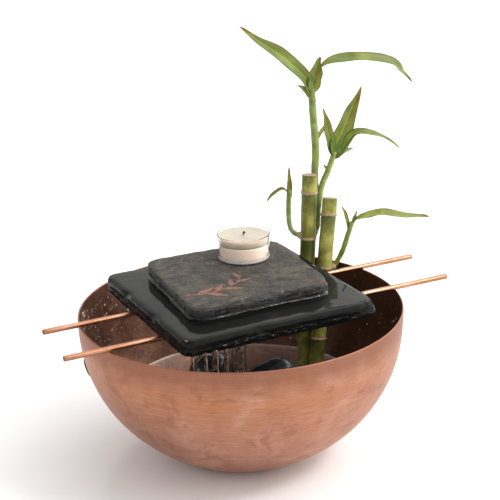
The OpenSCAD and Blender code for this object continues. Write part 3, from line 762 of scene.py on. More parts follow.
def make_slab(name, node, mats, outline, top, layers, seed, raggedness, roll, film, proud, hole=None,
              chips=()):
    """A split slab: a side of uneven layers, a riven top and an uneven underside.

    It stands for the node and rides on the body of that name. top(x, y) is how far the top face lies under
    the node's top. raggedness is the depth of the side's breaks, roll how far its edges are worn round, and
    film, from 0 to 1, how far running water smooths both. proud is how far the boldest parts of the side
    stand out of the outline. hole is (x, y, radius), and chips are (x, y, radius, depth) bites out of the
    top edge.
    """
    z0, z1 = (corner.z for corner in box_mm(node))
    n = len(outline)
    centre = Vector(hole[:2]) if hole else sum(outline, Vector((0, 0))) / n
    inward = []
    for i in range(n):
        t = (outline[(i + 1) % n] - outline[i - 1]).normalized()
        side = Vector((-t.y, t.x))
        inward.append(side if side.dot(centre - outline[i]) > 0 else -side)
    rng = random.Random(seed)
    cuts = [0.0] + sorted(rng.uniform(0.12, 0.88 - 0.33 * film) for _ in range(layers - 1)) + [1.0]
    s = Shape()
    rows = []

    def set_in(i, k, z):
        p = outline[i]
        own = seed + 5.3 * k
        level = (z - z0) / (z1 - z0)
        torn = raggedness * (1 - film * smooth((level - 0.35) / 0.4))
        d = abs(rough(p.x, p.y, own, 15, 2, own)) * 1.3 * torn
        d += max(rough(p.x, p.y, own, 4.5, 3, own), 0) * 1.2 * torn
        d += (rough(p.x, p.y, own, 1.6, 2) + 0.6) * 0.22 * torn
        d += roll * (clamp((level - 0.62) / 0.38) ** 2.2 + 0.12 * clamp((0.25 - level) / 0.25) ** 2)
        for cx, cy, cr, depth in chips:
            far = (p - Vector((cx, cy))).length / cr
            if far < 1:
                bite = depth * smooth(1 - far) * smooth((level - 0.25) / 0.6)
                d += bite * (1 + 0.5 * rough(p.x, p.y, z, 3, 3))
        return d - proud

    # Each layer has two rows. Under a film of water the top one has more, for its rounded edge
    for k in range(layers):
        steps = (0, 0.2, 0.4, 0.55, 0.7, 0.82, 0.92, 1) if film and k == layers - 1 else (0, 1)
        for step in steps:
            level = cuts[k] + (cuts[k + 1] - cuts[k]) * step
            if step == 0 and k > 0:
                level += 0.02
            if step == 1 and k < layers - 1:
                level -= 0.02
            row = []
            for i, p in enumerate(outline):
                z = z0 + (z1 - z0) * level
                q = p + inward[i] * set_in(i, k, z)
                if level == 1.0:
                    z = z1 - top(q.x, q.y) - EDGE_DROP * roll
                elif level > 0:
                    z += 0.35 * (1 - step * film) * rough(p.x, p.y, k, 8, 3, seed)
                row.append(s.add((q.x, q.y, z), (i / n, level)))
            rows.append(row)
    s.grid(rows, 1, closed=True)

    def cap(edge, up):
        """A face from the edge in to the hole, or to the middle."""
        last = edge
        reach = sum((outline[i] - centre).length for i in range(n)) / n
        inner = hole[2] if hole else 0.0
        count = int(reach / (1.7 if up else 5.0))
        for j in range(1, count + (1 if hole else 0)):
            f = j / count
            row = []
            for i in range(n):
                e = s.v[edge[i]].to_2d()
                q = e.lerp(centre + (e - centre).normalized() * inner, f)
                fall = EDGE_DROP * roll * math.exp(-(q - e).length / (0.6 + 0.7 * roll))
                fall *= 1 + 0.5 * (1 - film) * rough(q.x, q.y, 0, 4, 3, seed)
                z = z1 - top(q.x, q.y) - fall if up else z0 + 0.25 * abs(rough(q.x, q.y, 0, 12, 3, seed + 9))
                row.append(s.add((q.x, q.y, z), (i / n, f)))
            s.grid([last, row] if up else [row, last], 0, closed=True)
            last = row
        if hole:
            return last
        middle = s.add((centre.x, centre.y, z1 - top(centre.x, centre.y) if up else z0))
        s.fan(last, middle, 0, flip=not up)
        return None

    in_top, in_low = cap(rows[-1], True), cap(rows[0], False)
    if hole:
        s.grid([in_top, in_low], 1, closed=True)
    recalc(s.build(name, mats, node, [node], sharp=32))


def terraces(v, count, soft=0.25):
    """v in steps, count of them from 0 to 1, each rising over its first part."""
    k = math.floor(v * count)
    return (k + smooth((v * count - k) / soft)) / count


def base_top(x, y):
    return 0.20 * abs(rough(x, y, 0, 40, 2, 4.0)) + 0.10 * terraces(abs(rough(x, y, 0, 22, 3, 8.0)), 4)


def top_top(x, y):
    cleft = terraces(clamp(0.5 + 0.6 * rough(x, 1.8 * y, 0, 34, 4, 2.0)), 6, 0.3)
    return 0.05 + 0.55 * cleft + 0.10 * abs(rough(x, y, 0, 3.0, 3, 6.0))


def top_slate_outline(count):
    x, y, w, l = -1.6, 4.0, 54.0, 55.0
    askew = [(x - w - 4, y - l), (x + w - 4.5, y - l + 1), (x + w + 4.5, y + l - 3), (x - w + 4.5, y + l)]
    return rounded_outline(askew, [11, 9, 15, 14], count)


def make_slates(wet, dry, edge):
    lo, hi = box_mm("base_slate")
    w, l = (hi.x - lo.x) / 2, (hi.y - lo.y) / 2
    cx, cy = (hi.x + lo.x) / 2, (hi.y + lo.y) / 2
    square = [(cx - w, cy - l), (cx + w, cy - l), (cx + w, cy + l), (cx - w, cy + l)]
    outline = rounded_outline(square, [7, 5, 6, 9], 420)
    make_slab("base_slab", "base_slate", [wet, wet], outline, base_top, layers=6, seed=3,
              raggedness=0.8, roll=1.5, film=0.8, proud=0.8, hole=(cx, cy, HOSE_HOLE_R),
              chips=[(cx + w, cy - l, 16, 3.0), (cx - w, cy - 20, 12, 1.6), (cx - w, cy + 30, 10, 1.4),
                     (cx - 20, cy - l, 14, 1.2)])
    make_slab("top_slab", "top_slate", [dry, edge], top_slate_outline(380), top_top, layers=7,
              seed=11, raggedness=0.9, roll=0.9, film=0.0, proud=0.6,
              chips=[(47.9, -50, 15, 3.4), (-61.6, -16, 10, 1.6), (-1.6, -51, 12, 1.4)])


def make_sprig(red):
    """A painted twig with leaves, lying on the riven face."""
    s = Shape()
    top_z = box_mm("top_slate")[1].z

    def on_stone(p):
        return (p.x, p.y, top_z - top_top(p.x, p.y) + 0.07)

    def stroke(points, width):
        path = [p.to_2d() for p in smooth_curve([(*p, 0) for p in points], 12)]
        rows = []
        for i, p in enumerate(path):
            t = (path[min(i + 1, len(path) - 1)] - path[max(i - 1, 0)]).normalized()
            side, f = Vector((-t.y, t.x)), i / (len(path) - 1)
            w = width(f)
            rows.append([s.add(on_stone(p + side * w * k), (k, f)) for k in (-1.0, -0.5, 0.0, 0.5, 1.0)])
        s.grid(rows)

    stem = [(-52, -24), (-41, -28), (-27, -27), (-13, -20), (-3, -8)]
    stroke(stem, lambda f: 0.9 - 0.5 * f)
    curve = smooth_curve([(*p, 0) for p in stem], 10)
    for i in range(7):
        at, side = 7 + 5 * i, 1 - 2 * (i % 2)
        root = curve[at].to_2d()
        t = (curve[at + 1] - curve[at - 1]).to_2d().normalized()
        out = Vector((t.x * 0.62 - side * t.y * 0.78, t.y * 0.62 + side * t.x * 0.78))
        size = 14.5 - 1.0 * i
        mid = root + out * size * 0.5 + t * 1.2
        stroke([root, mid, root + out * size + t * 3.0],
               lambda f, z=size: 0.25 + 0.17 * z * sin(pi * f ** 0.8))
    s.build("painted_sprig", [red], "top_slate")


# ---------------------------------------------------------------- candle

def make_candle(clear, ribbed, solid, melt, char, tin):
    """The tealight. Heights in it are measured from the cup's foot."""
    lo, hi = box_mm("candle_cup")
    at = Matrix.Translation(Vector(((lo.x + hi.x) / 2, (lo.y + hi.y) / 2, lo.z)))
    r, h = (hi.x - lo.x) / 2, hi.z - lo.z
    wall, base, taper, gap = 0.8, 0.8, 0.5, 0.08
    set_top, melt_proud = 11.4, 1.2

    def out_r(z):
        return r - taper + taper * z / h

    # Cup: a bead at the lip, and ribs moulded round the foot
    s = Shape()
    profile = [(0, 0.5), (r - 6, 0.5), (r - 4.6, 0.1), (r - taper - 1.2, 0.0, 1), (r - taper - 0.35, 0.25, 1),
               (r - taper, 0.9, 1), (out_r(1.6) - 0.06, 1.6, 1)]
    profile += [(out_r(z) - 0.06, z) for z in (2.2, 2.6, 3.4, 6, 9, 12, 15, h - 1.2)]
    profile += [(r, h - 0.7), (r, h - 0.25), (r - 0.25, h), (r - wall, h - 0.1), (r - wall - 0.1, h - 0.6)]
    profile += [(out_r(z) - wall, z) for z in (15, 12, 9, 6, 3, 1.6)]
    profile += [(r - taper - wall - 0.7, base), (r - 8, base), (0, base)]

    def ribs(rr, z, a):
        if z < 2.3 and rr > r - 3.0:
            return -0.32 * (0.5 + 0.5 * cos(40 * a)) * smooth(z / 0.5 + 0.4) * smooth((2.4 - z) / 0.5)
        return 0.0

    lathe(s, profile, 320, ribs)
    recalc(s.build("clear_cup", [clear, ribbed], "candle", ["candle_cup"], matrix=at, sharp=40))

    # Wax: set wax below, and a melted layer on it with a meniscus at the wall
    wax_top = box_mm("candle_wax")[1].z - lo.z + melt_proud

    def uneven(rr, z, a):
        return 0.06 * rough(rr * cos(a), rr * sin(a), z, 5, 2) if z > set_top - 0.1 else 0

    s = Shape()
    profile = [(0, base + 0.05), (r - 3, base + 0.05)]
    profile += [(out_r(z) - wall - gap, z) for z in (1.5, 4, 7, 10, set_top)]
    profile += [(rr, set_top + dz) for rr, dz in ((r - 2.6, 0.25), (r - 6, -0.2), (r - 11, -0.8), (4, -1.2),
                                                  (0, -1.2))]
    lathe(s, profile, 128, uneven)
    recalc(s.build("set_wax", [solid], "candle", ["candle_wax"], matrix=at))

    s = Shape()
    profile = [(0, set_top - 1.1), (4, set_top - 1.1), (r - 11, set_top - 0.7), (r - 6, set_top - 0.1),
               (r - 2.6, set_top + 0.35)]
    profile += [(out_r(z) - wall - gap, z) for z in (set_top + 0.3, 13, 14.4, wax_top)]
    profile += [(r - 2.0, wax_top - 0.25), (r - 3.6, wax_top - 0.35), (8, wax_top - 0.35),
                (3.0, wax_top - 0.32), (1.2, wax_top - 0.05), (0, wax_top)]
    lathe(s, profile, 128)
    recalc(s.build("melted_wax", [melt], "candle", matrix=at))

    # Wick: a plaited cord, charred and bent at its tip
    wick_lo, wick_hi = box_mm("candle_wick")
    s = Shape()
    rows = []
    steps, sides = 60, 24
    z0, z1 = wick_lo.z - lo.z, wick_hi.z - lo.z + 0.6
    for i in range(steps + 1):
        f = i / steps
        z = z0 + (z1 - z0) * f
        bend = 0.9 * smooth((f - 0.8) / 0.2) ** 2
        row = []
        for k in range(sides):
            a = tau * k / sides
            rr = 0.52 + 0.10 * sin(3 * a + f * 50) + 0.07 * rough(a * 3, z * 2, 0, 2, 3)
            rr *= 1 + 0.9 * smooth((f - 0.9) / 0.08) - 0.6 * smooth((f - 0.985) / 0.015)
            row.append(s.add((bend + rr * cos(a), 0.3 * bend + rr * sin(a), z), (k / sides, f)))
        rows.append(row)
    s.tube(rows, (0, 0, z0), (0.9, 0.27, z1))
    recalc(s.build("burnt_wick", [char], "candle", ["candle_wick"], matrix=at))

    # Sustainer: a pressed disc with a rolled edge and a crimped neck
    s = Shape()
    profile = [(rr, base + z) for rr, z in (
        (0, 0), (5.2, 0), (5.8, 0.1), (6.0, 0.3), (5.7, 0.45), (5.2, 0.35), (2.4, 0.4), (1.7, 0.8),
        (1.5, 1.4), (1.45, 3.6), (1.2, 3.95), (0.8, 3.9), (0.72, 3.0), (0, 2.9))]
    lathe(s, profile, 64, lambda rr, z, a: 0.12 * cos(4 * a) if z > base + 1.2 and rr > 1.0 else 0.0)
    recalc(s.build("wick_disc", [tin], "candle", ["wick_sustainer"], matrix=at, sharp=40))


# ---------------------------------------------------------------- bamboo

STALK_CLEAR = 2.0


def stalk_foot(turn, z, d):
    r = bowl_in_r(z) - d / 2 - STALK_CLEAR
    return Vector((r * cos(radians(turn)), r * sin(radians(turn)), z))


STALKS = {
    "bamboo_stalk_1": dict(foot=stalk_foot(26.8, 32, 12.4), lean=Vector((0.081, 0.061, 1)), l=156, d=12.4,
                           rings=(48, 105, 141), bud_z=137, body="bamboo_tall"),
    "bamboo_stalk_2": dict(foot=stalk_foot(15.7, 26, 12.0), lean=Vector((0.172, 0.11, 1)), l=146, d=12.0,
                           rings=(34, 90, 132), bud_z=115, body="bamboo_short"),
}


def bud_of(name):
    s = STALKS[name]
    return s["foot"] + s["lean"] * (s["bud_z"] - s["foot"].z)


def make_stalk(name, skin, ring_mat, cut_mat, seed):
    d = STALKS[name]
    up = d["lean"].normalized()
    at = (Matrix.Translation(d["foot"]) @ Matrix.Rotation(math.atan2(up.y, up.x), 4, "Z")
          @ Matrix.Rotation(math.acos(up.z), 4, "Y"))
    r0, l, rings = d["d"] / 2, d["l"], [r + 1.1 for r in d["rings"]]
    near_ring = (-2.2, -1.5, -1.1, -0.8, -0.4, 0, 0.4, 0.8, 1.1, 1.6, 2.4)
    marks = sorted({0.0, l} | {l * i / 110 for i in range(111)} | {r + o for r in rings for o in near_ring})
    s = Shape()
    rows, mats = [], []
    for z in marks:
        gap = z - min(rings, key=lambda r: abs(r - z))
        flare = 0.30 * math.exp(-abs(gap) / 4.0)
        ring = 0.50 * smooth(1.25 - abs(gap)) - 0.18 * math.exp(-((gap + 1.7) / 0.5) ** 2)
        above = [r for r in rings + [l + 9] if r >= z]
        # UV y carries the painted shade under the ring above
        shade = 1 - clamp((above[0] - z) / 26)
        row = []
        for k in range(56):
            a = tau * k / 56
            rr = r0 - 0.28 + flare + ring
            rr += (0.14 * rough(3 * cos(a), 3 * sin(a), z / 5, 2.5, 3, seed)
                   + 0.10 * rough(6 * cos(a), 6 * sin(a), z, 4, 3, seed))
            tilt = 0.35 * sin(a + seed) if 0.5 < z < l - 0.5 else 0.0
            row.append(s.add((rr * cos(a), rr * sin(a), z + tilt), (k / 56, shade)))
        rows.append(row)
        mats.append(1 if abs(gap) < 1.15 else 0)
    s.grid(rows, closed=True, row_mat=mats)

    # The cut ends: a raised rim of skin and a slightly hollow, ringed face
    for edge, z, up_side in ((rows[-1], l, True), (rows[0], 0.0, False)):
        last = edge
        for f in (0.93, 0.86, 0.7, 0.5, 0.3, 0.12):
            row = []
            for i in edge:
                p = s.v[i]
                dip = 0.35 * (1 - f) + (0.12 if f < 0.9 else 0)
                dip += 0.08 * rough(p.x * f, p.y * f, z, 1.5, 2, seed)
                row.append(s.add((p.x * f, p.y * f, z - dip if up_side else z + dip), (f, 0)))
            s.grid([last, row], 2, closed=True)
            last = row
        s.fan(last, s.add((0, 0, z - 0.5 if up_side else z + 0.5)), 2)
    recalc(s.build(name + "_cane", [skin, ring_mat, cut_mat], d["body"], [name], matrix=at,
                   sharp=50))


def add_stem(s, points, r0, r1, sheath, mat, seed):
    """A stem from radius r0 to r1, with scars along it, thickened by the leaves' sheath towards its top."""
    path = smooth_curve(points, 9)
    n, run = len(path), 0.0
    rows = []
    for i in range(n):
        _, side, up = frame_at(path, i, Vector(FACING))
        f = i / (n - 1)
        if i:
            run += (path[i] - path[i - 1]).length
        scar = math.exp(-(((run + 2.0) % 7.5 - 3.7) / 0.55) ** 2)
        r = r0 + (r1 - r0) * f + sheath * smooth((f - 0.25) / 0.45) * smooth((1.12 - f) / 0.2)
        row = []
        for k in range(16):
            a = tau * k / 16
            rr = r * (1 + 0.09 * scar + 0.05 * rough(run, 4 * a, 0, 5, 2, seed))
            row.append(s.add(path[i] + side * rr * cos(a) + up * rr * sin(a), (k / 16, scar)))
        rows.append(row)
    s.tube(rows, path[0], path[-1], mat)


def add_leaf(s, points, width, facing, neck, mat, seed):
    """A blade folded along its midrib, clasping at its base, with a wavy edge and a drawn-out tip.

    A blade with a neck starts thin and widens later.
    """
    path = smooth_curve(points, 14)
    n, cols = len(path), 9
    rng = random.Random(seed)
    phase, twist = rng.uniform(0, tau), rng.uniform(-0.18, 0.18)
    over, under = [], []
    for i in range(n):
        f = i / (n - 1)
        along, side, up = frame_at(path, i, Vector(facing))
        turn = Matrix.Rotation(twist * sin(pi * f), 3, along)
        side, up = turn @ side, turn @ up
        if neck:
            half = 0.8 + (width / 2 - 0.8) * smooth((f - 0.12) / 0.34) * clamp((1 - f) / 0.36) ** 0.9
        else:
            half = 0.5 + (width / 2 - 0.5) * max(sin(pi * (0.04 + 0.955 * f) ** 0.8), 0) ** 0.8
            half *= 1 - 0.35 * smooth((f - 0.55) / 0.35)
        half *= smooth((1.0 - f) / 0.05 * 0.9 + 0.1)
        half = max(half, 0.12)
        clasp = 1.25 * math.exp(-f / 0.07)
        fold = 0.30 + 0.75 * clasp + 0.25 * smooth((f - 0.75) / 0.25)
        thick = 0.26 * (1 - 0.6 * f)
        row_o, row_u = [], []
        for k in range(cols):
            u = 2 * k / (cols - 1) - 1
            wave = 0.055 * width * abs(u) * sin(f * 17 + phase + (1.1 if u > 0 else 0)) * smooth(f / 0.2)
            x = u * half * cos(fold * abs(u) * 0.9)
            z = abs(u) ** 1.3 * half * sin(fold) + wave - 0.16 * half * math.exp(-(u / 0.16) ** 2)
            p = path[i] + side * x + up * z
            edge = thick * (1 - 0.55 * abs(u))
            row_o.append(s.add(p + up * edge, (k / (cols - 1), f)))
            row_u.append(s.add(p - up * edge, (k / (cols - 1), f)))
        over.append(row_o)
        under.append(row_u)
    s.grid(over, mat)
    s.grid([list(reversed(r)) for r in under], mat)
    for i in range(n - 1):
        s.face((over[i][0], over[i + 1][0], under[i + 1][0], under[i][0]), mat)
        s.face((over[i][-1], under[i][-1], under[i + 1][-1], over[i + 1][-1]), mat)
    for i in (0, n - 1):
        for k in range(cols - 1):
            s.face((over[i][k], over[i][k + 1], under[i][k + 1], under[i][k]), mat)


def add_collar(s, start, end, mat, seed):
    """The dry scales round a shoot's root."""
    t = (end - start).normalized()
    path = [start + t * f for f in (-2.4, -0.4, 0.8, 2.0, 3.2, 4.4, 5.0)]
    radii = (3.3, 3.5, 3.3, 3.05, 2.85, 2.6, 2.2)
    side = t.cross(Vector((0.3, 0.2, 1))).normalized()
    up = side.cross(t)
    rows = []
    for p, r in zip(path, radii):
        row = []
        for k in range(24):
            out = side * cos(tau * k / 24) + up * sin(tau * k / 24)
            row.append(s.add(p + out * r * (1 + 0.12 * rough(k * 3, r * 4, 0, 4, 3, seed)), (k / 24, r / 4)))
        rows.append(row)
    s.tube(rows, path[0], path[-1], mat)


FACING, OVER, OVER_LOW = (0, -1, 0.3), (0, -0.5, 1), (0, -0.6, 1)
# Each shoot's points are in mm from its bud: stem with its radii at both ends and its sheath's extra radius,
# then leaves with width, facing and, where the blade starts as a thin neck, True.
SHOOTS = {
    "shoot_tall": dict(
        stalk="bamboo_stalk_1",
        stem=([(2, 5, 1), (8, 11, 4), (14, 13, 12), (15, 13, 22), (14, 13, 47), (15, 13, 67), (12, 11, 96),
               (10, 9, 116)], 2.2, 1.5, 1.2),
        leaves=[
            ([(9, 9, 112), (3, 8, 126), (-17, 4, 144), (-38, 0, 158), (-56, -4, 171)], 11, FACING),
            ([(10, 9, 113), (13, 9, 126), (18, 10, 139)], 12, FACING),
            ([(10, 9, 114), (15, 7, 129), (23, 5, 135), (38, 3, 137), (51, -1, 136), (73, -6, 131),
              (80, -9, 123), (87, -11, 115)], 11, OVER, True),
            ([(9, 9, 108), (3, 8, 116), (-3, 7, 120)], 4, FACING),
            ([(14, 13, 64), (16, 12, 76), (22, 11, 84), (24, 10, 89)], 3.4, FACING)]),
    "shoot_broad": dict(
        stalk="bamboo_stalk_1",
        stem=([(4, 0, 2), (9, 1, 8), (12, 4, 22), (17, 8, 37), (25, 11, 49), (32, 13, 62)], 2.1, 1.5, 0.6),
        leaves=[
            ([(32, 13, 59), (34, 14, 67), (43, 16, 81), (52, 18, 96), (61, 20, 110)], 15, FACING),
            ([(31, 13, 58), (27, 14, 78), (24, 16, 97)], 9, FACING),
            ([(31, 13, 58), (37, 12, 63), (48, 10, 75), (63, 6, 74), (73, 2, 69), (83, -2, 61)], 8, OVER_LOW),
            ([(31, 13, 56), (42, 16, 61), (53, 20, 60)], 5, OVER_LOW),
            ([(26, 11, 46), (22, 9, 51), (19, 8, 55)], 3, FACING)]),
    "shoot_side": dict(
        stalk="bamboo_stalk_1",
        stem=([(-2, 4, 1), (-5, 15, 2), (-3, 25, 7), (1, 33, 18), (4, 37, 29)], 2, 1.6, 0.3),
        leaves=[
            ([(3, 36, 22), (4, 37, 32), (5, 39, 48)], 5, FACING),
            ([(3, 37, 27), (0, 41, 30), (-6, 45, 26), (-10, 49, 19)], 3.6, OVER, True)]),
    "shoot_low": dict(
        stalk="bamboo_stalk_2",
        stem=([(4, -1, 0), (7, -2, 1), (10, -3, 5), (14, -5, 14), (18, -6, 26), (22, -6, 36)], 2, 1.3, 0.5),
        leaves=[
            ([(19, -6, 29), (18, -3, 41), (16, 0, 48)], 3.4, FACING),
            ([(21, -6, 33), (23, -7, 39), (25, -8, 45)], 3, FACING),
            ([(20, -6, 32), (25, -8, 38), (35, -12, 41), (46, -16, 41), (66, -20, 37), (82, -22, 34)], 10,
             OVER, True)]),
}


def make_shoot(name, mats, seed):
    d = SHOOTS[name]
    bud = bud_of(d["stalk"])
    s = Shape()
    points, r0, r1, sheath = d["stem"]
    add_stem(s, [bud + Vector(p) for p in points], r0, r1, sheath, 0, seed)
    add_collar(s, bud + Vector(points[0]), bud + Vector(points[1]), 2, seed)
    for i, (pts, width, facing, *neck) in enumerate(d["leaves"]):
        add_leaf(s, [bud + Vector(p) for p in pts], width, facing, bool(neck), 1, seed * 10 + i)
    recalc(s.build(name + "_leaves", mats, STALKS[d["stalk"]]["body"], [name]))


# ---------------------------------------------------------------- stones and water

def make_stone(i, skin):
    node = f"river_stone_{i}"
    lo, hi = box_mm(node)
    centre = (lo + hi) / 2
    half = (hi - lo) / 2
    bm = bmesh.new()
    bm.from_mesh(nodes[node].data)
    bmesh.ops.remove_doubles(bm, verts=bm.verts, dist=1e-5)
    for v in bm.verts:
        p = v.co / MM - centre
        n = p / half.length * 1.7
        k = 1 - 0.05 + 0.085 * rough(n.x * 10, n.y * 10, n.z * 10, 11, 2, 3.1 * i) - 0.05 * max(
            rough(n.x * 10, n.y * 10, n.z * 10, 6, 2, 1.3 * i), 0)
        v.co = (centre + p * min(k, 1.0)) * MM
    for f in bm.faces:
        f.smooth = True
    mesh = bpy.data.meshes.new(f"pebble_{i}")
    bm.to_mesh(mesh)
    bm.free()
    mesh.materials.clear()
    mesh.materials.append(skin)
    obj = add_object(f"pebble_{i}", mesh)
    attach(obj, "bowl_and_pump")
    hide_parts(node)


FALLS = [(-71, -73.0, 2.0), (-63, -76.2, 2.8), (-56, -76.6, 4.6), (-48, -76.2, 3.4), (-38, -76.4, 6.0)]


def make_water(surface, painted_glint_beads):
    """The pool, the streams off the base slate's front left corner, and drops on the bowl's wall."""
    edge = bowl_in_r(WATER_Z) - 0.15
    s = Shape()
    rows = []
    steps, rings = 200, 70
    for j in range(1, rings + 1):
        r = edge * j / rings
        row = []
        for i in range(steps):
            a = tau * i / steps
            x, y = r * cos(a), r * sin(a)
            z = WATER_Z + 0.25 * rough(x, y, 0, 22, 2, 5.0)
            for fx, fy, _ in FALLS:
                d = sqrt((x - fx) ** 2 + (y - fy) ** 2)
                z += 0.55 * math.exp(-d / 16) * sin(d / 2.1)
            z += 0.9 * math.exp(-(edge - r) / 1.2)
            row.append(s.add((x, y, z), (i / steps, j / rings)))
        rows.append(row)
    s.grid(rows, closed=True)
    s.fan(rows[0], s.add((0, 0, WATER_Z)), flip=True)
    s.build("pool_water", [surface], "bowl_and_pump")

    slate_lo, slate_hi = box_mm("base_slate")
    s = Shape()
    rng = random.Random(5)
    for n, (fx, fy, width) in enumerate(FALLS):
        rows = []
        count = 46
        for i in range(count + 1):
            f = i / count
            z = slate_lo.z + 1.0 - (slate_lo.z + 1.0 - WATER_Z) * f
            w = width * (1 - 0.55 * smooth(f * 1.2)) * (1 + 0.18 * rough(n * 9, z, 0, 9, 2)) / 2
            d = (0.75 + 0.25 * sin(z * 0.7 + n)) * (1 - 0.3 * f)
            cx = fx + 0.9 * rough(z, n * 5, 0, 26, 2, 2.0)
            cy = fy + 0.5 * rough(z, n * 5, 0, 20, 2, 7.0)
            row = []
            out = sqrt(cx * cx + cy * cy)
            held = min(out, bowl_in_r(max(z, WATER_Z + 0.1)) - 2.4) / out
            cx, cy = cx * held, cy * held
            for k in range(14):
                a = tau * k / 14
                ripple = 1 + 0.16 * sin(3 * a + z * 0.35)
                row.append(s.add((cx + w * ripple * cos(a), cy + d * ripple * sin(a), z), (k / 14, f)))
            rows.append(row)
        s.grid(rows, closed=True)
        s.fan(rows[0], s.add(((fx), (fy), slate_lo.z + 1.2)), flip=True)
    recalc(s.build("falling_water", [surface], "bowl_and_pump"))

    # The bead of water that stands along the top slate's foot
    s = Shape()
    outline = top_slate_outline(260)
    middle = sum(outline, Vector((0, 0))) / len(outline)
    rows = [[] for _ in range(7)]
    for p in outline:
        out = (p - middle).normalized()
        swell = 1.0 + 0.35 * rough(p.x, p.y, 0, 9, 2, 3.0)
        for k, row in enumerate(rows):
            a = pi / 2 * k / 6
            q = p + out * (-1.4 + 2.5 * swell * (1 - sin(a)))
            row.append(s.add((q.x, q.y, slate_hi.z - 0.1 + 2.3 * swell * (1 - cos(a)))))
    s.grid(rows, closed=True)
    recalc(s.build("water_line", [surface], "base_slate"))

    s = Shape()

    def bead(place, out, r):
        """A flattened drop on a surface whose normal is out."""
        side = out.cross(Vector((0.2, 0.1, 1))).normalized()
        up = out.cross(side)
        rows = []
        for j in range(1, 5):
            b = pi / 2 * j / 4
            rows.append([s.add(place + (side * cos(tau * k / 10) + up * sin(tau * k / 10)) * r * sin(b)
                               + out * r * 0.62 * cos(b)) for k in range(10)])
        s.grid(rows, closed=True)
        s.fan(rows[0], s.add(place + out * r * 0.62), flip=True)

    for _ in range(900):
        a = rng.uniform(0, tau) if rng.random() < 0.25 else radians(rng.gauss(165, 30))
        z = rng.uniform(WATER_Z + 4, 106)
        r = bowl_in_r(z) - 0.1
        slope = bowl_slope(z)
        out = Vector((-cos(a), -sin(a), slope)).normalized()
        bead(Vector((r * cos(a), r * sin(a), z)), out, min(rng.expovariate(2.0) * 0.55 + 0.35, 1.5))
    # The beads' pale colour is a painted glint on clear water
    recalc(s.build("wall_drops", [painted_glint_beads], "bowl_and_pump"))


# ---------------------------------------------------------------- make it

add_camera()
add_studio()

copper_out, copper_in, copper_rod = copper_outside(), copper_inside(), copper_bright()
wet, dry, edge = stone_wet(), stone_dry(), stone_edge()
rubber = simple("black_rubber", (0.012, 0.012, 0.012), (0.03, 0.03, 0.03), 3, (0.5, 0.75), 0.04)

make_bowl(copper_out, copper_in)
make_grommet(rubber)
make_rod("copper_rod_front", "rod_front", "rod_front", copper_rod, 1.0)
make_rod("copper_rod_back", "rod_back", "rod_back", copper_rod, 2.0)
make_slates(wet, dry, edge)
make_sprig(paint())
make_candle(clear_plastic("clear_cup_plastic"),
            simple("ribbed_plastic", (0.84, 0.84, 0.85), (0.96, 0.96, 0.96), 2, (0.05, 0.2), 0.05,
                   Transmission_Weight=0.3), wax_solid(), wax_melt(),
            simple("charred_wick", (0.006, 0.005, 0.004), (0.03, 0.024, 0.018), 0.8, (0.7, 0.95), 0.08),
            simple("tinned_disc", (0.50, 0.50, 0.52), (0.66, 0.66, 0.68), 3, (0.22, 0.4), 0.03, Metallic=1.0))

skin = bamboo_skin()
ring_tan = simple("ring_scar", (0.19, 0.12, 0.055), (0.44, 0.33, 0.19), 2.2, (0.5, 0.8), 0.12)
cut_face = simple("cut_pith", (0.27, 0.175, 0.11), (0.42, 0.32, 0.23), 1.6, (0.55, 0.85), 0.10)
make_stalk("bamboo_stalk_1", skin, ring_tan, cut_face, 1.0)
make_stalk("bamboo_stalk_2", skin, ring_tan, cut_face, 2.6)
stem_green = simple("stem_green", (0.11, 0.155, 0.022), (0.26, 0.32, 0.065), 6, (0.32, 0.5), 0.06)
husk = simple("dry_husk", (0.20, 0.12, 0.05), (0.50, 0.36, 0.20), 2.0, (0.55, 0.85), 0.15)
leaf_mid = leaf_green("leaf_green", (0.052, 0.105, 0.010), (0.105, 0.175, 0.020), (0.22, 0.30, 0.060))
leaf_light = leaf_green("leaf_light_green", (0.070, 0.125, 0.010), (0.14, 0.21, 0.022), (0.27, 0.35, 0.070))
make_shoot("shoot_tall", [stem_green, leaf_mid, husk], 1)
make_shoot("shoot_broad", [stem_green, leaf_mid, husk], 2)
make_shoot("shoot_side", [stem_green, leaf_light, husk], 3)
make_shoot("shoot_low", [stem_green, leaf_light, husk], 4)

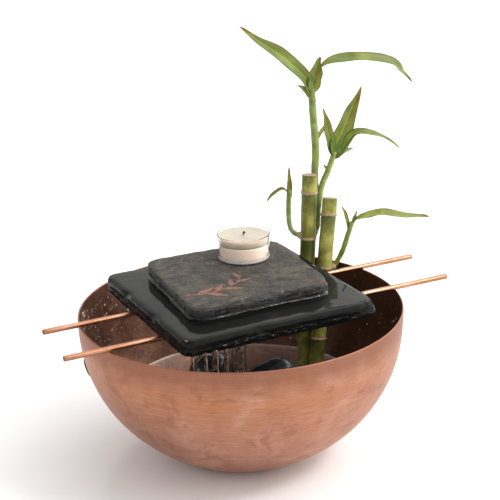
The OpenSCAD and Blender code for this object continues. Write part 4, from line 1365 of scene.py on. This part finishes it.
pebbles = pebble_skin()
for number in range(1, 9):
    make_stone(number, pebbles)
# The drops' pale colour is a painted glint on the clear water beads
make_water(water(), simple("drops", (0.80, 0.66, 0.58), (0.95, 0.88, 0.82), 1.5, (0.02, 0.10), 0.02,
                                          Transmission_Weight=0.55, IOR=1.333))

pump_black = simple("moulded_black", (0.010, 0.010, 0.012), (0.022, 0.022, 0.025), 1.4, (0.28, 0.48), 0.03)
dial_black = simple("dial_black", (0.014, 0.014, 0.016), (0.03, 0.03, 0.034), 1.0, (0.35, 0.5), 0.03)
KEPT = {
    "slate_bumpers": clear_plastic("clear_bumper", (0.85, 0.88, 0.87), 0.2),
    "pump_housing": pump_black,
    "strainer_cover": pump_black,
    "volute_cover": pump_black,
    "outlet_nozzle": pump_black,
    "flow_dial": dial_black,
    "flow_gate": dial_black,
    "stator_core": steel_sheets(),
    "potting_resin": simple("potting_resin", (0.010, 0.010, 0.008), (0.03, 0.028, 0.02), 7, (0.10, 0.25),
                            0.05),
    "cable_gland": rubber,
    "suction_feet": simple("foot_rubber", (0.02, 0.02, 0.02), (0.05, 0.05, 0.05), 2, (0.55, 0.8), 0.04),
    "rear_bush": rubber,
    "front_bush": rubber,
    "rotor_shaft": simple("white_ceramic", (0.72, 0.72, 0.70), (0.82, 0.82, 0.80), 2, (0.12, 0.25), 0.01),
    "magnet_rotor": simple("ferrite", (0.03, 0.03, 0.032), (0.07, 0.07, 0.075), 1.2, (0.4, 0.65), 0.04,
                           Metallic=0.4),
    "impeller": simple("natural_nylon", (0.62, 0.60, 0.52), (0.74, 0.72, 0.64), 3, (0.3, 0.5), 0.03,
                       Subsurface_Weight=0.2, Subsurface_Scale=0.002),
    "riser_hose": clear_plastic("clear_hose", (0.84, 0.88, 0.85), 0.15),
}
for node, material in KEPT.items():
    obj = nodes[node]
    for slot in obj.material_slots:
        slot.material = material
    bevel = obj.modifiers.new("soft_edges", "BEVEL")
    bevel.width, bevel.segments, bevel.limit_method, bevel.angle_limit = 0.00025, 2, "ANGLE", radians(40)

bpy.context.scene.view_settings.view_transform = "Standard"
